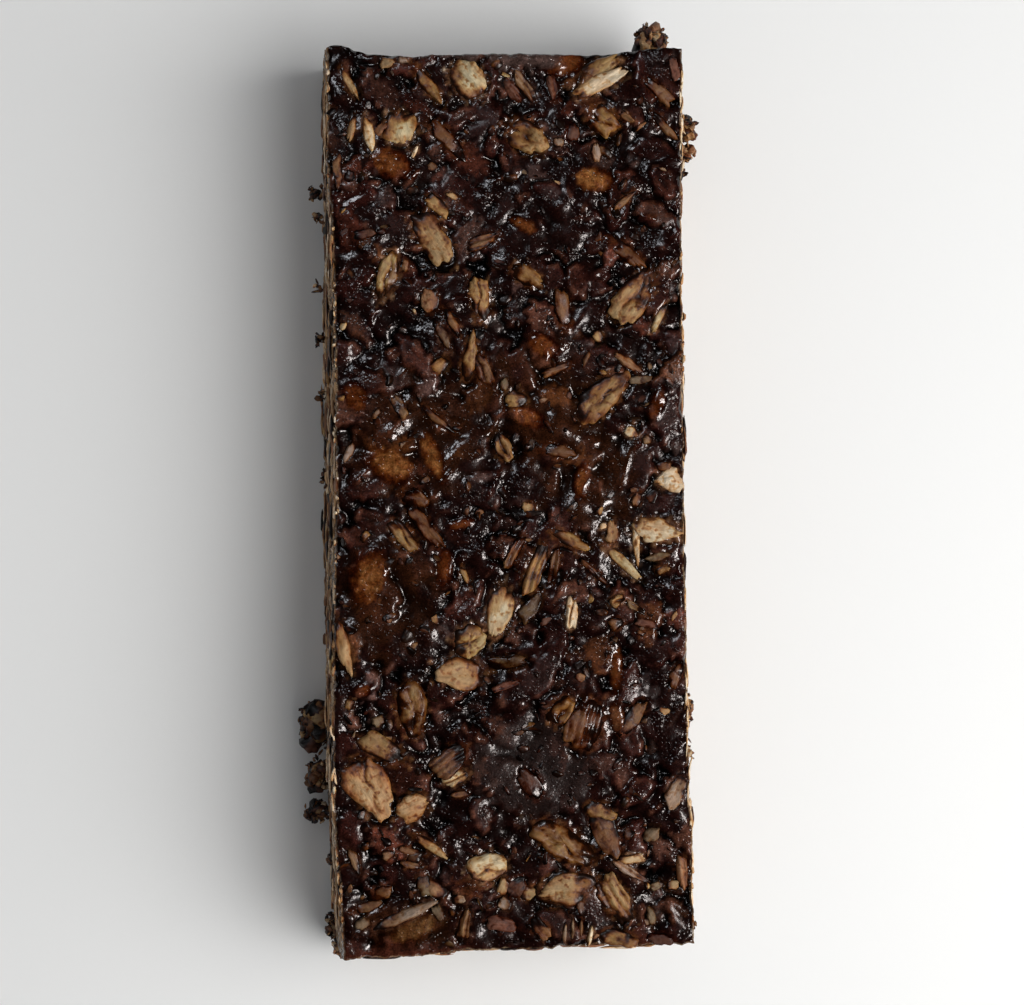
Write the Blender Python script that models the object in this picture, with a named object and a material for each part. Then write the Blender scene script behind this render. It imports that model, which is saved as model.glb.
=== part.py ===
"""Granola bar: a chewy bar of rolled oats and seeds, cut from a square tray.

Metres, +Z up. The origin is the middle of the flat underside. Y runs along the bar, and its
+Y end is the one that lay against the wall of the tray. The other three sides are knife cuts.
"""

import math
import random

import bmesh
import bpy
from mathutils import Matrix, Vector, noise

MM = 0.001

# Driving sizes: a nine-inch tray cut once one way and into five strips the other way
TRAY_SIDE = 228.6 * MM
BARS_ALONG = 2
BARS_ACROSS = 5
BAR_LENGTH = TRAY_SIDE / BARS_ALONG
BAR_WIDTH = TRAY_SIDE / BARS_ACROSS
BAR_HEIGHT = 19.0 * MM

# The block's cells, small enough to carry the lumps between flakes
CELLS_X = 20
CELLS_Y = 50
CELLS_Z = 7

# The top face is this much smaller than the bar each way, and each side leans out below it
TOP_INSET_X = 0.75 * MM
TOP_INSET_Y = 1.6 * MM
FLARE_LEFT = 1.3 * MM
FLARE_RIGHT = 0.5 * MM
FLARE_FRONT = 0.8 * MM
FLARE_BACK = 0.5 * MM

# Lumps of the pressed mix
TOP_SWELL = 0.9 * MM
TOP_SWELL_SPAN = 13.0 * MM
TOP_LUMP = 0.6 * MM
TOP_LUMP_SPAN = 4.2 * MM
SIDE_LEDGE = 0.9 * MM
LEDGE_LENGTH = 7.0 * MM
LEDGE_HEIGHT = 2.3 * MM
END_LUMP = 0.8 * MM

# The end cuts run a little out of square
FRONT_SKEW = 1.0 * MM
FRONT_REACH = 0.4 * MM
BACK_RISE = 0.9 * MM

# The corner that was pushed up the wall of the tray, and the film that set along the wall
CORNER_X = -20.8 * MM
CORNER_SPREAD = 2.6 * MM
CORNER_REACH = 1.5 * MM
FILM_FROM_X = -13.0 * MM
FILM_TO_X = 9.0 * MM
FILM_RISE = 0.6 * MM

# Oat flakes
FLAKE_SEGMENTS = 10
FLAKE_RINGS = 4
FLAKE_THICKNESS = 1.3 * MM
FLAKE_PROUD = (0.2 * MM, 0.6 * MM)
FLAKE_TILT = math.radians(7.0)
CREASE_DEPTH = 0.35
TIP_TAPER = 0.22
SIDE_FLAKES = 7
SIDE_FLAKE_SIZE = (6.5 * MM, 2.6 * MM)

BAR_NAME = "granola_bar"
BAR_COLOR = (0.046, 0.020, 0.014, 1.0)
BAR_ROUGHNESS = 0.45
SEED = 11

# Flakes that stand proud of the top: across, along, length, width in mm, turn in degrees
TOP_FLAKES = (
    (-9.8, 52.3, 6.0, 1.6, -52), (-4.9, 52.8, 5.2, 4.2, -40), (11.4, 54.0, 8.0, 2.2, 27),
    (12.2, 52.4, 7.9, 2.2, 25), (19.3, 51.4, 4.6, 1.9, -45), (-13.6, 46.9, 4.4, 4.0, 80),
    (-7.4, 45.2, 6.0, 2.2, -50), (2.4, 46.1, 5.6, 4.2, -40), (12.0, 47.9, 4.6, 3.6, -40),
    (-14.0, 42.2, 6.0, 3.8, -30), (11.5, 40.2, 5.5, 3.3, -10), (-9.8, 33.2, 7.4, 3.7, -52),
    (-15.3, 28.3, 6.6, 2.8, 72), (-3.7, 25.2, 5.9, 2.7, -86), (-10.0, 25.2, 3.3, 2.4, 88),
    (1.9, 34.8, 4.4, 1.8, -30), (6.8, 23.7, 5.2, 2.4, -80), (14.9, 31.1, 6.0, 1.9, -35),
    (15.9, 25.6, 8.2, 3.9, 50), (-5.2, 18.0, 6.2, 1.9, 80), (-15.4, 4.3, 6.8, 4.4, -25),
    (-9.8, 5.3, 7.0, 2.4, -70), (11.6, 12.9, 8.2, 4.0, 43), (18.9, 12.0, 5.2, 2.2, 70),
    (8.8, 2.2, 5.2, 2.3, 80), (19.6, 2.2, 4.0, 3.0, 8), (-18.3, -9.2, 7.6, 4.8, 80),
    (-11.2, -3.1, 7.0, 2.0, -52), (-1.8, -14.2, 7.4, 3.3, 80), (-5.7, -17.8, 4.4, 3.9, 40),
    (2.7, -9.4, 8.4, 2.6, 66), (13.7, -7.9, 7.4, 1.8, -45), (18.4, -4.2, 6.4, 3.3, -8),
    (7.3, -14.4, 4.0, 1.7, 82), (-6.9, -21.9, 6.8, 3.6, -5), (-13.2, -26.3, 6.6, 4.0, -82),
    (-16.8, -31.1, 6.8, 2.9, -32), (-18.5, -36.0, 8.8, 4.7, -62), (-13.1, -38.6, 4.2, 3.6, 20),
    (-8.4, -33.2, 6.2, 4.0, 35), (9.0, -28.6, 7.0, 4.3, 72), (15.0, -28.0, 5.0, 2.0, 55),
    (6.0, -43.5, 8.6, 4.3, -33), (11.3, -42.3, 6.6, 3.1, -66), (-3.7, -46.4, 5.0, 3.7, 12),
    (6.2, -49.4, 7.8, 4.4, 10), (12.3, -50.8, 6.8, 3.5, -58), (-14.2, -53.6, 8.6, 3.9, 22),
)

# Crumbs that cling to the sides: across, along, height of the middle, length, width in mm
CRUMBS = (
    (-23.8, -29.0, 4.0, 7.4, 3.6), (-23.6, -36.4, 5.5, 4.4, 3.0), (-23.7, -41.5, 3.4, 3.0, 2.2),
    (-23.6, 40.6, 6.0, 2.6, 1.8), (-23.6, 21.5, 5.0, 3.8, 1.8), (-23.5, -53.6, 3.4, 3.8, 2.6),
    (-22.6, -57.6, 3.6, 3.4, 2.8), (18.9, 57.2, 8.0, 4.0, 3.6), (22.9, 47.6, 6.5, 5.4, 2.4),
    (22.6, 42.8, 9.0, 1.9, 1.5), (22.3, -27.8, 15.2, 5.6, 1.7), (22.4, -56.2, 12.0, 3.0, 1.6),
)


def clear_scene():
    """Remove whatever the open file holds."""
    for item in list(bpy.data.objects):
        bpy.data.objects.remove(item, do_unlink=True)


def make_material(name, color, roughness):
    """A Principled material without metal."""
    material = bpy.data.materials.new(name)
    material.use_nodes = True
    shader = material.node_tree.nodes["Principled BSDF"]
    shader.inputs["Base Color"].default_value = color
    shader.inputs["Roughness"].default_value = roughness
    shader.inputs["Metallic"].default_value = 0.0
    return material


def link_mesh(name, mesh_data):
    """Turn a bmesh into an object of the scene."""
    mesh = bpy.data.meshes.new(name)
    mesh_data.to_mesh(mesh)
    mesh_data.free()
    item = bpy.data.objects.new(name, mesh)
    bpy.context.scene.collection.objects.link(item)
    return item


def soft_step(edge_low, edge_high, value):
    """0 below the first edge, 1 above the second, with a smooth ramp between them."""
    part = min(1.0, max(0.0, (value - edge_low) / (edge_high - edge_low)))
    return part * part * (3.0 - 2.0 * part)


def hump(value, middle, spread):
    """A bell curve of height 1."""
    return math.exp(-((value - middle) / spread) ** 2)


def top_relief(x, y):
    """How far the top face lies above or below its mean height."""
    swell = noise.noise(Vector((x, y, 0.0)) / TOP_SWELL_SPAN)
    lump = noise.noise(Vector((x, y, 0.03)) / TOP_LUMP_SPAN)
    on_film = soft_step(FILM_FROM_X, FILM_FROM_X + 3 * MM, x) - soft_step(FILM_TO_X - 3 * MM, FILM_TO_X, x)
    near_wall = soft_step(BAR_LENGTH / 2 - 3.5 * MM, BAR_LENGTH / 2 - 1.5 * MM, y)
    return TOP_SWELL * swell + TOP_LUMP * lump + FILM_RISE * on_film * near_wall


def side_relief(along, height, seed):
    """Ledges of the cut layers on a side, positive outwards."""
    place = Vector((along / LEDGE_LENGTH, height / LEDGE_HEIGHT, seed))
    return SIDE_LEDGE * noise.noise(place)


def outline_back(x):
    """The tray-wall end's own line across the bar."""
    corner = CORNER_REACH * hump(x, CORNER_X, CORNER_SPREAD)
    return corner + BACK_RISE * soft_step(-8.0 * MM, 17.0 * MM, x)


def outline_front(x):
    """The front cut's own line: it runs out a little towards the left."""
    return FRONT_REACH + FRONT_SKEW * (0.5 - x / BAR_WIDTH)


def shape_point(corner):
    """Move one point of the plain block to where the bar's surface is."""
    across, along, up = corner
    rise = up / BAR_HEIGHT
    sink = 1.0 - rise
    top_half_width = BAR_WIDTH / 2 - TOP_INSET_X
    flare = FLARE_LEFT if across < 0 else FLARE_RIGHT
    x = across / (BAR_WIDTH / 2) * (top_half_width + flare * sink)
    on_side = abs(across) > BAR_WIDTH / 2 - 0.01 * MM
    if on_side:
        x += math.copysign(side_relief(along, up, 2.0 if across < 0 else 7.0), across)

    top_half_length = BAR_LENGTH / 2 - TOP_INSET_Y
    flare = FLARE_FRONT if along < 0 else FLARE_BACK
    y = along / (BAR_LENGTH / 2) * (top_half_length + flare * sink)
    end_weight = soft_step(0.86, 1.0, abs(along) / (BAR_LENGTH / 2))
    outline = outline_back(across) if along > 0 else -outline_front(across)
    y += end_weight * outline
    if abs(along) > BAR_LENGTH / 2 - 0.01 * MM:
        lump = noise.noise(Vector((across / TOP_LUMP_SPAN, up / LEDGE_HEIGHT, along * 10)))
        y += math.copysign(END_LUMP * lump, along)

    z = up + top_relief(across, along) * rise
    return Vector((x, y, z))


def make_block():
    """The pressed mix: a box sliced into cells, then shaped point by point."""
    size = Vector((BAR_WIDTH, BAR_LENGTH, BAR_HEIGHT))
    cells = (CELLS_X, CELLS_Y, CELLS_Z)
    block = bmesh.new()
    bmesh.ops.create_cube(block, size=1.0, matrix=Matrix.Diagonal(size).to_4x4())
    bmesh.ops.translate(block, verts=block.verts, vec=(0.0, 0.0, BAR_HEIGHT / 2))
    low = Vector((-BAR_WIDTH / 2, -BAR_LENGTH / 2, 0.0))
    for axis in range(3):
        normal = Vector((0.0, 0.0, 0.0))
        normal[axis] = 1.0
        for step in range(1, cells[axis]):
            point = low.copy()
            point[axis] += size[axis] * step / cells[axis]
            geometry = block.verts[:] + block.edges[:] + block.faces[:]
            bmesh.ops.bisect_plane(block, geom=geometry, plane_co=point, plane_no=normal)
    for vert in block.verts:
        vert.co = shape_point(vert.co)
    base_faces = [face for face in block.faces if face.normal.z < -0.99 and face.calc_center_median().z < 1e-6]
    bmesh.ops.dissolve_faces(block, faces=base_faces)
    bmesh.ops.triangulate(block, faces=block.faces)
    return link_mesh(BAR_NAME, block)


def make_flake(name, length, width, thickness):
    """One rolled oat: a flat oval, narrower at one tip, with a crease along its length."""
    flake = bmesh.new()
    bmesh.ops.create_uvsphere(flake, u_segments=FLAKE_SEGMENTS, v_segments=FLAKE_RINGS, radius=0.5)
    for vert in flake.verts:
        x, y, z = vert.co
        taper = 1.0 - TIP_TAPER * (x + 0.5)
        crease = CREASE_DEPTH * hump(y, 0.0, 0.12) if z > 0 else 0.0
        vert.co = Vector((x * length, y * width * taper, (z - z * crease) * thickness))
    return link_mesh(name, flake)


def make_crumb(name, length, width, dice):
    """One lump of broken-off mix."""
    crumb = bmesh.new()
    bmesh.ops.create_icosphere(crumb, subdivisions=1, radius=0.5)
    for vert in crumb.verts:
        vert.co *= dice.uniform(0.8, 1.1)
        vert.co = Vector((vert.co.x * width, vert.co.y * length, vert.co.z * width))
    return link_mesh(name, crumb)


def place_top_flakes(dice):
    """The flakes that stand proud of the top face, each tilted a little."""
    flakes = []
    for number, (x, y, length, width, turn) in enumerate(TOP_FLAKES, start=1):
        x, y = x * MM, y * MM
        flake = make_flake(f"top_flake_{number:02d}", length * MM, width * MM, FLAKE_THICKNESS)
        flake.location = (x, y, BAR_HEIGHT + top_relief(x, y) + dice.uniform(*FLAKE_PROUD))
        tilt = [dice.uniform(-FLAKE_TILT, FLAKE_TILT) for _ in range(2)]
        flake.rotation_euler = (tilt[0], tilt[1], math.radians(turn))
        flakes.append(flake)
    return flakes


def place_side_flakes(dice):
    """Flakes that show at the two long cuts, lying nearly flat in the layers."""
    flakes = []
    for side in (-1, 1):
        flare = FLARE_LEFT if side < 0 else FLARE_RIGHT
        for number in range(SIDE_FLAKES):
            share = (number + dice.uniform(0.2, 0.8)) / SIDE_FLAKES
            height = BAR_HEIGHT * dice.uniform(0.2, 0.85)
            reach = BAR_WIDTH / 2 - TOP_INSET_X + flare * (1.0 - height / BAR_HEIGHT)
            flake = make_flake(f"side_flake_{side}_{number}", *SIDE_FLAKE_SIZE, FLAKE_THICKNESS)
            flake.location = (side * (reach - 0.5 * MM), (share - 0.5) * (BAR_LENGTH - 8 * MM), height)
            tilt = [2 * dice.uniform(-FLAKE_TILT, FLAKE_TILT) for _ in range(2)]
            flake.rotation_euler = (tilt[0], tilt[1], math.radians(90.0))
            flakes.append(flake)
    return flakes


def place_crumbs(dice):
    """Loose-looking lumps that stick to the sides and corners."""
    crumbs = []
    for number, (x, y, z, length, width) in enumerate(CRUMBS, start=1):
        crumb = make_crumb(f"crumb_{number:02d}", length * MM, width * MM, dice)
        crumb.location = (x * MM, y * MM, z * MM)
        crumbs.append(crumb)
    return crumbs


def fuse(bar, pieces):
    """Union the flakes and crumbs into the bar with one Boolean."""
    guides = bpy.data.collections.new("fused_pieces")
    bpy.context.scene.collection.children.link(guides)
    for piece in pieces:
        bpy.context.scene.collection.objects.unlink(piece)
        guides.objects.link(piece)
        piece.hide_render = True
        piece.display_type = "WIRE"
    union = bar.modifiers.new("fuse_flakes", "BOOLEAN")
    union.operation = "UNION"
    union.operand_type = "COLLECTION"
    union.collection = guides
    union.solver = "EXACT"


def main():
    clear_scene()
    dice = random.Random(SEED)
    noise.seed_set(SEED)
    bar = make_block()
    bar.data.materials.append(make_material("granola", BAR_COLOR, BAR_ROUGHNESS))
    pieces = place_top_flakes(dice) + place_side_flakes(dice) + place_crumbs(dice)
    fuse(bar, pieces)


main()
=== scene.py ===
"""Looks of a chewy granola bar: rolled oats and seeds in a dark syrup-and-date binder.

Lengths are millimetres in the mesh code and metres in the scene. X runs across the bar, Y along
it, +Z up, and the bar lies on the floor at Z = 0. The +Y end lay against the tray's wall.
"""

import math
from collections import namedtuple

import bpy
import numpy as np
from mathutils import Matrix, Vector


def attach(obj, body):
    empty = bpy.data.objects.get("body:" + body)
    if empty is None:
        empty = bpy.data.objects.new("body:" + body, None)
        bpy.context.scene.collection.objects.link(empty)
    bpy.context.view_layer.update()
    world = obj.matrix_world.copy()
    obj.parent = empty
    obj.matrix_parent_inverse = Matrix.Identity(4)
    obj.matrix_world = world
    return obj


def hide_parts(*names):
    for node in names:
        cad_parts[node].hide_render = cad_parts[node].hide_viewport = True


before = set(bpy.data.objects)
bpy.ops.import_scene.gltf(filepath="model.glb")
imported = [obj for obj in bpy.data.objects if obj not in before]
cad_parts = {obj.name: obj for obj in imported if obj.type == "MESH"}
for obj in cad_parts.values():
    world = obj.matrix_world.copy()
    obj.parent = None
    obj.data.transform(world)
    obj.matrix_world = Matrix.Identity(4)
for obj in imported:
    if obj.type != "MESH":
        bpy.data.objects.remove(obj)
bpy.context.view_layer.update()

bl_info = {
    "name": "Granola Bar",
    "version": (1, 0, 0),
    "blender": (4, 5, 0),
    "location": "View3D > Sidebar > Granola Bar",
    "description": "Builds the sticky crust, flakes, seeds and cut sides of a granola bar",
    "category": "Add Mesh",
}

MM = 0.001
NODE = "granola_bar"
BODY = "root"


def linear(hex_code):
    """An sRGB hex colour as linear red, green and blue."""
    shares = [int(hex_code[start:start + 2], 16) / 255 for start in (1, 3, 5)]
    return tuple(s / 12.92 if s <= 0.04045 else ((s + 0.055) / 1.055) ** 2.4 for s in shares)


def measure_solid():
    """The body's left, right, front and back at the base and its mean height, in metres."""
    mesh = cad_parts[NODE].data
    flat = np.empty(len(mesh.vertices) * 3)
    mesh.vertices.foreach_get("co", flat)
    points = flat.reshape(-1, 3)
    base = points[points[:, 2] < 0.02 * MM]
    left = np.median(base[base[:, 0] < 0, 0])
    right = np.median(base[base[:, 0] > 0, 0])
    front, back = np.percentile(base[:, 1], (8, 92))
    top = np.median(points[points[:, 2] > 0.92 * points[:, 2].max(), 2])
    return float(left), float(right), float(front), float(back), float(top)


BASE_LEFT, BASE_RIGHT, BASE_FRONT, BASE_BACK, MEAN_HEIGHT = measure_solid()


def length_property(name, description, default):
    """A length setting in metres."""
    return bpy.props.FloatProperty(
        name=name, description=description, default=default, precision=5,
        subtype="DISTANCE", unit="LENGTH",
    )


def colour_property(name, description, hex_code):
    """A colour setting, given as sRGB hex."""
    return bpy.props.FloatVectorProperty(
        name=name, description=description, default=linear(hex_code), size=3,
        subtype="COLOR", min=0.0, max=1.0,
    )


def count_property(name, description, default):
    """How many of something there are."""
    return bpy.props.IntProperty(name=name, description=description, default=default, min=0)


def angle_property(name, description, degrees):
    """An angle setting, given in degrees."""
    return bpy.props.FloatProperty(
        name=name, description=description, default=math.radians(degrees),
        subtype="ANGLE", unit="ROTATION",
    )


def power_property(name, description, default):
    """A lamp's power in watts."""
    return bpy.props.FloatProperty(
        name=name, description=description, default=default, subtype="POWER", unit="POWER",
    )


class BarSizes(bpy.types.PropertyGroup):
    """Where the bar's faces are."""

    left: length_property("Left", "Left side at the base", BASE_LEFT)
    right: length_property("Right", "Right side at the base", BASE_RIGHT)
    front: length_property("Front", "Front cut at the base", BASE_FRONT)
    back: length_property("Back", "Tray-wall end at the base", BASE_BACK)
    height: length_property("Height", "Mean height of the top face", MEAN_HEIGHT)
    lean_left: length_property("Lean left", "How far the left cut leans in", 1.35 * MM)
    lean_right: length_property("Lean right", "How far the right cut leans in", 0.5 * MM)
    lean_front: length_property("Lean front", "How far the front cut leans in", 0.7 * MM)
    lean_back: length_property("Lean back", "How far the wall end leans in", 0.4 * MM)
    seam_depth: length_property("Crust depth", "How deep the crust's own mesh reaches", 2.4 * MM)


class CrustSettings(bpy.types.PropertyGroup):
    """The pressed mix and the syrup over it."""

    cell: length_property("Cell", "Width of one cell of the crust's mesh", 0.27 * MM)
    swell: length_property("Swell", "Height of the broad swells", 0.24 * MM)
    lump: length_property("Lump", "Height of the lumps between flakes", 0.1 * MM)
    granule: length_property("Granule", "Height of the fine crumb", 0.035 * MM)
    coated_flakes: count_property("Coated flakes", "Flakes wholly under the binder", 460)
    crests: count_property("Crests", "Thin flake edges that stand up", 60)
    dark: colour_property("Binder", "Thick syrup and date paste", "#200b08")
    mid: colour_property("Thin binder", "Binder thinly spread over an oat", "#5e392b")
    warm: colour_property("Syrup glow", "Clear syrup over an oat", "#5e3418")
    russet: colour_property("Russet", "Red-brown bran under the paste", "#5f3022")
    umber: colour_property("Umber", "Grey-brown bran under the paste", "#573f39")
    film: colour_property("Film", "Syrup that set against the tray wall", "#4a3833")


class FlakeSettings(bpy.types.PropertyGroup):
    """Rolled oats and the small bits."""

    thickness: length_property("Thickness", "Thickness of a rolled oat", 0.85 * MM)
    cream: colour_property("Cream", "Palest oats", "#cfbca1")
    straw: colour_property("Straw", "Ordinary oats", "#ac8b65")
    tan: colour_property("Tan", "Toasted oats", "#8b6345")
    khaki: colour_property("Khaki", "Greenish-grey oats", "#6f5b44")
    rose: colour_property("Rose", "Pinkish bran", "#977f74")
    russet: colour_property("Russet", "Red-brown bran", "#643b2a")
    bits: count_property("Bits", "Small broken pieces on the top", 330)


class SideSettings(bpy.types.PropertyGroup):
    """The cut sides and the underside."""

    cut_oats: count_property("Cut oats", "Oats sliced through at the cuts", 1600)
    ledge: length_property("Ledge", "How far the layers stand in and out", 0.25 * MM)
    flesh: colour_property("Flesh", "Cut oats", "#bb9a73")
    pale: colour_property("Pale", "Freshly cut flour", "#e6d6c0")
    gap: colour_property("Gap", "Paste between the layers", "#2c1a10")
    base_oats: count_property("Base oats", "Oats pressed flat against the tray", 120)


class StageSettings(bpy.types.PropertyGroup):
    """Floor, lights and camera."""

    distance: length_property("Distance", "Camera distance from the top face", 300 * MM)
    lens: bpy.props.FloatProperty(
        name="Lens", description="Focal length", default=83.5, subtype="DISTANCE_CAMERA")
    tilt: angle_property("Tilt", "Camera's lean to the left of straight down", 4.6)
    roll: angle_property("Roll", "How far the bar's far end leans to the left", 0.85)
    key_power: power_property("Key power", "Large soft light", 2.9)
    glint_power: power_property("Glint power", "Small light that the syrup mirrors", 1.8)
    sky: bpy.props.FloatProperty(name="Sky", description="Light from all round", default=0.26)
    floor: colour_property("Floor", "Pale matt card", "#e6e6e5")


SETTINGS = {
    "granola_sizes": BarSizes,
    "granola_crust": CrustSettings,
    "granola_flakes": FlakeSettings,
    "granola_sides": SideSettings,
    "granola_stage": StageSettings,
}


# ---------------- random relief and fields

def span_noise(shape, row_span, column_span, seed):
    """A random field of mean 0 and spread 1 whose bumps repeat about every span, in cells."""
    dice = np.random.default_rng(seed)
    rows = np.fft.fftfreq(shape[0])[:, None] * row_span
    columns = np.fft.rfftfreq(shape[1])[None, :] * column_span
    reach = np.hypot(rows, columns)
    waves = np.fft.rfft2(dice.standard_normal(shape)) * reach * np.exp(-0.5 * reach**2)
    field = np.fft.irfft2(waves, s=shape)
    return (field - field.mean()) / field.std()


def blur(field, spread):
    """A field smoothed by a bell curve of that spread, in cells."""
    rows = np.fft.fftfreq(field.shape[0])[:, None]
    columns = np.fft.rfftfreq(field.shape[1])[None, :]
    keep = np.exp(-2.0 * (math.pi * spread) ** 2 * (rows**2 + columns**2))
    return np.fft.irfft2(np.fft.rfft2(field) * keep, s=field.shape)


def ramp(low, high, value):
    """0 below the first edge and 1 above the second, with a smooth rise between them."""
    part = np.clip((value - low) / (high - low), 0.0, 1.0)
    return part * part * (3.0 - 2.0 * part)


def hump(value, middle, spread):
    """A bell curve of height 1."""
    return np.exp(-((value - middle) / spread) ** 2)


def mix(first, second, share):
    """Blend two values or colours by a share from 0 to 1."""
    return first + (second - first) * share


def any_angle(dice):
    """A random angle for a wave or a direction."""
    return dice.uniform(0, 6.3)


def turned(first, second, angle):
    """Two coordinates, or two directions, after a turn by an angle."""
    cosine, sine = math.cos(angle), math.sin(angle)
    return first * cosine - second * sine, first * sine + second * cosine


def toward(along, across, way):
    """How far places lie in one direction."""
    return along * math.cos(way) + across * math.sin(way)


class Field:
    """Layers of samples over a flat rectangle, which is the top face or the underside."""

    def __init__(self, low, high, step):
        self.low, self.step = low, step
        columns, rows = (int(round((h - l) / step)) + 1 for l, h in zip(low, high))
        self.shape = (rows, columns)
        self.x, self.y = np.meshgrid(
            low[0] + step * np.arange(columns), low[1] + step * np.arange(rows))
        self.height = np.zeros(self.shape)
        self.gloss = np.zeros(self.shape)
        self.grain = np.zeros(self.shape)
        self.taken = np.zeros(self.shape)
        self.tint = np.zeros((*self.shape, 3))

    def noise(self, span, seed):
        """Relief noise whose bumps are about span mm apart."""
        return span_noise(self.shape, span / self.step, span / self.step, seed)

    def near(self, x, y, turn, reach):
        """The window of samples within reach, and their places along and across a turned piece."""
        column, row = (x - self.low[0]) / self.step, (y - self.low[1]) / self.step
        size = reach / self.step
        rows = slice(max(0, int(row - size)), min(self.shape[0], int(row + size) + 2))
        columns = slice(max(0, int(column - size)), min(self.shape[1], int(column + size) + 2))
        window = (rows, columns)
        return (window, *turned(self.x[window] - x, self.y[window] - y, -turn))

    def oval(self, x, y, half_width, half_length):
        """How far out each sample is in an oval: 0 at its middle and 1 at its rim."""
        return np.hypot((self.x - x) / half_width, (self.y - y) / half_length)

    def smoothed(self, spread):
        """The relief without anything narrower than that spread in mm."""
        return blur(self.height, spread / self.step)

    def blend(self, layer, value, share, window=...):
        """Move a layer toward a value or a colour by a share from 0 to 1."""
        samples = getattr(self, layer)
        if samples.ndim == 3:
            share = share[..., None]
        samples[window] = mix(samples[window], value, share)

    def read(self, layer, x, y):
        """Samples of a layer between its grid points."""
        column = np.clip((np.asarray(x) - self.low[0]) / self.step, 0, self.shape[1] - 1.001)
        row = np.clip((np.asarray(y) - self.low[1]) / self.step, 0, self.shape[0] - 1.001)
        i, j = column.astype(int), row.astype(int)
        right, up = column - i, row - j
        if layer.ndim == 3:
            right, up = right[..., None], up[..., None]
        lower = layer[j, i] * (1 - right) + layer[j, i + 1] * right
        upper = layer[j + 1, i] * (1 - right) + layer[j + 1, i + 1] * right
        return lower * (1 - up) + upper * up


# ---------------- meshes and nodes

def make_piece(name, points, faces, corner_places, values, material):
    """A closed mesh piece that rides on the bar's body.

    points are in mm; faces are arrays of corner numbers; corner_places are their map places;
    values are named layers of one number, three numbers or a colour a point.
    """
    mesh = bpy.data.meshes.new(name)
    corners = np.concatenate([block.ravel() for block in faces]).astype(np.int32)
    totals = np.concatenate([np.full(len(block), block.shape[1]) for block in faces])
    starts = np.concatenate([[0], np.cumsum(totals)[:-1]]).astype(np.int32)
    mesh.vertices.add(len(points))
    mesh.vertices.foreach_set("co", (np.asarray(points) * MM).astype(np.float32).ravel())
    mesh.loops.add(len(corners))
    mesh.loops.foreach_set("vertex_index", corners)
    mesh.polygons.add(len(totals))
    mesh.polygons.foreach_set("loop_start", starts)
    mesh.update(calc_edges=True)
    places = np.concatenate([block.reshape(-1, 2) for block in corner_places])
    mesh.uv_layers.new(name="OFBake").data.foreach_set("uv", places.astype(np.float32).ravel())
    for layer, numbers in values.items():
        numbers = np.asarray(numbers, np.float32)
        if numbers.ndim == 1:
            mesh.attributes.new(layer, "FLOAT", "POINT").data.foreach_set("value", numbers)
        elif layer == "tint":
            colours = np.ones((len(numbers), 4), np.float32)
            colours[:, :3] = numbers
            made = mesh.attributes.new(layer, "FLOAT_COLOR", "POINT")
            made.data.foreach_set("color", colours.ravel())
        else:
            made = mesh.attributes.new(layer, "FLOAT_VECTOR", "POINT")
            made.data.foreach_set("vector", numbers.ravel())
    mesh.validate()
    mesh.shade_smooth()
    mesh.set_sharp_from_angle(angle=math.radians(75))
    mesh.materials.append(material)
    piece = bpy.data.objects.new(name, mesh)
    bpy.context.scene.collection.objects.link(piece)
    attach(piece, BODY)
    return piece


def add_node(tree, kind, values=None, **properties):
    """Add a node, set its properties, and fill or link its inputs."""
    node = tree.nodes.new(kind)
    for name, value in properties.items():
        setattr(node, name, value)
    for key, value in (values or {}).items():
        if isinstance(value, bpy.types.NodeSocket):
            tree.links.new(value, node.inputs[key])
        else:
            node.inputs[key].default_value = value
    return node


def start_material(name):
    """An empty node material with its output node."""
    material = bpy.data.materials.new(name)
    material.use_nodes = True
    tree = material.node_tree
    tree.nodes.clear()
    return material, tree, tree.nodes.new("ShaderNodeOutputMaterial")


def set_ramp(node, stops):
    """Fill a colour ramp from (place, sRGB hex) pairs."""
    elements = node.color_ramp.elements
    while len(elements) < len(stops):
        elements.new(0.5)
    for element, (place, hex_code) in zip(elements, stops):
        element.position = place
        element.color = (*linear(hex_code), 1.0)


def carried(tree, layer, output="Fac"):
    """A layer of values that the mesh carries."""
    return add_node(tree, "ShaderNodeAttribute", attribute_name=layer).outputs[output]


def stretched(tree, place, scales):
    """Places scaled by their own number along each axis."""
    values = {"Vector": place, "Scale": scales}
    return add_node(tree, "ShaderNodeMapping", values).outputs["Vector"]


def noise(tree, place, scale, detail, roughness=0.5, distortion=0.0):
    """Cloudy noise between 0 and 1; it repeats scale times a unit."""
    return add_node(tree, "ShaderNodeTexNoise", {
        "Vector": place, "Scale": scale, "Detail": detail, "Roughness": roughness,
        "Distortion": distortion}).outputs["Fac"]


def ranged(tree, value, low, high, new_low=0.0, new_high=1.0, **properties):
    """A number moved from one range to another and kept inside it."""
    return add_node(tree, "ShaderNodeMapRange", {
        "Value": value, "From Min": low, "From Max": high, "To Min": new_low,
        "To Max": new_high}, **properties).outputs["Result"]


def domes(tree, place, spacing, reach):
    """Round spots at random places: 1 at their middles and 0 from reach spacings out."""
    cells = add_node(tree, "ShaderNodeTexVoronoi", {
        "Vector": place, "Scale": 1 / spacing, "Randomness": 1.0}, feature="F1")
    return ranged(tree, cells.outputs["Distance"], reach, 0.0, interpolation_type="SMOOTHSTEP")


def calculate(tree, operation, first, second, *third):
    """One number worked out from two or three others."""
    values = dict(enumerate((first, second, *third)))
    return add_node(tree, "ShaderNodeMath", values, operation=operation).outputs["Value"]


def combine(tree, operation, first, *others):
    """Several numbers added up or multiplied together."""
    for other in others:
        first = calculate(tree, operation, first, other)
    return first


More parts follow.
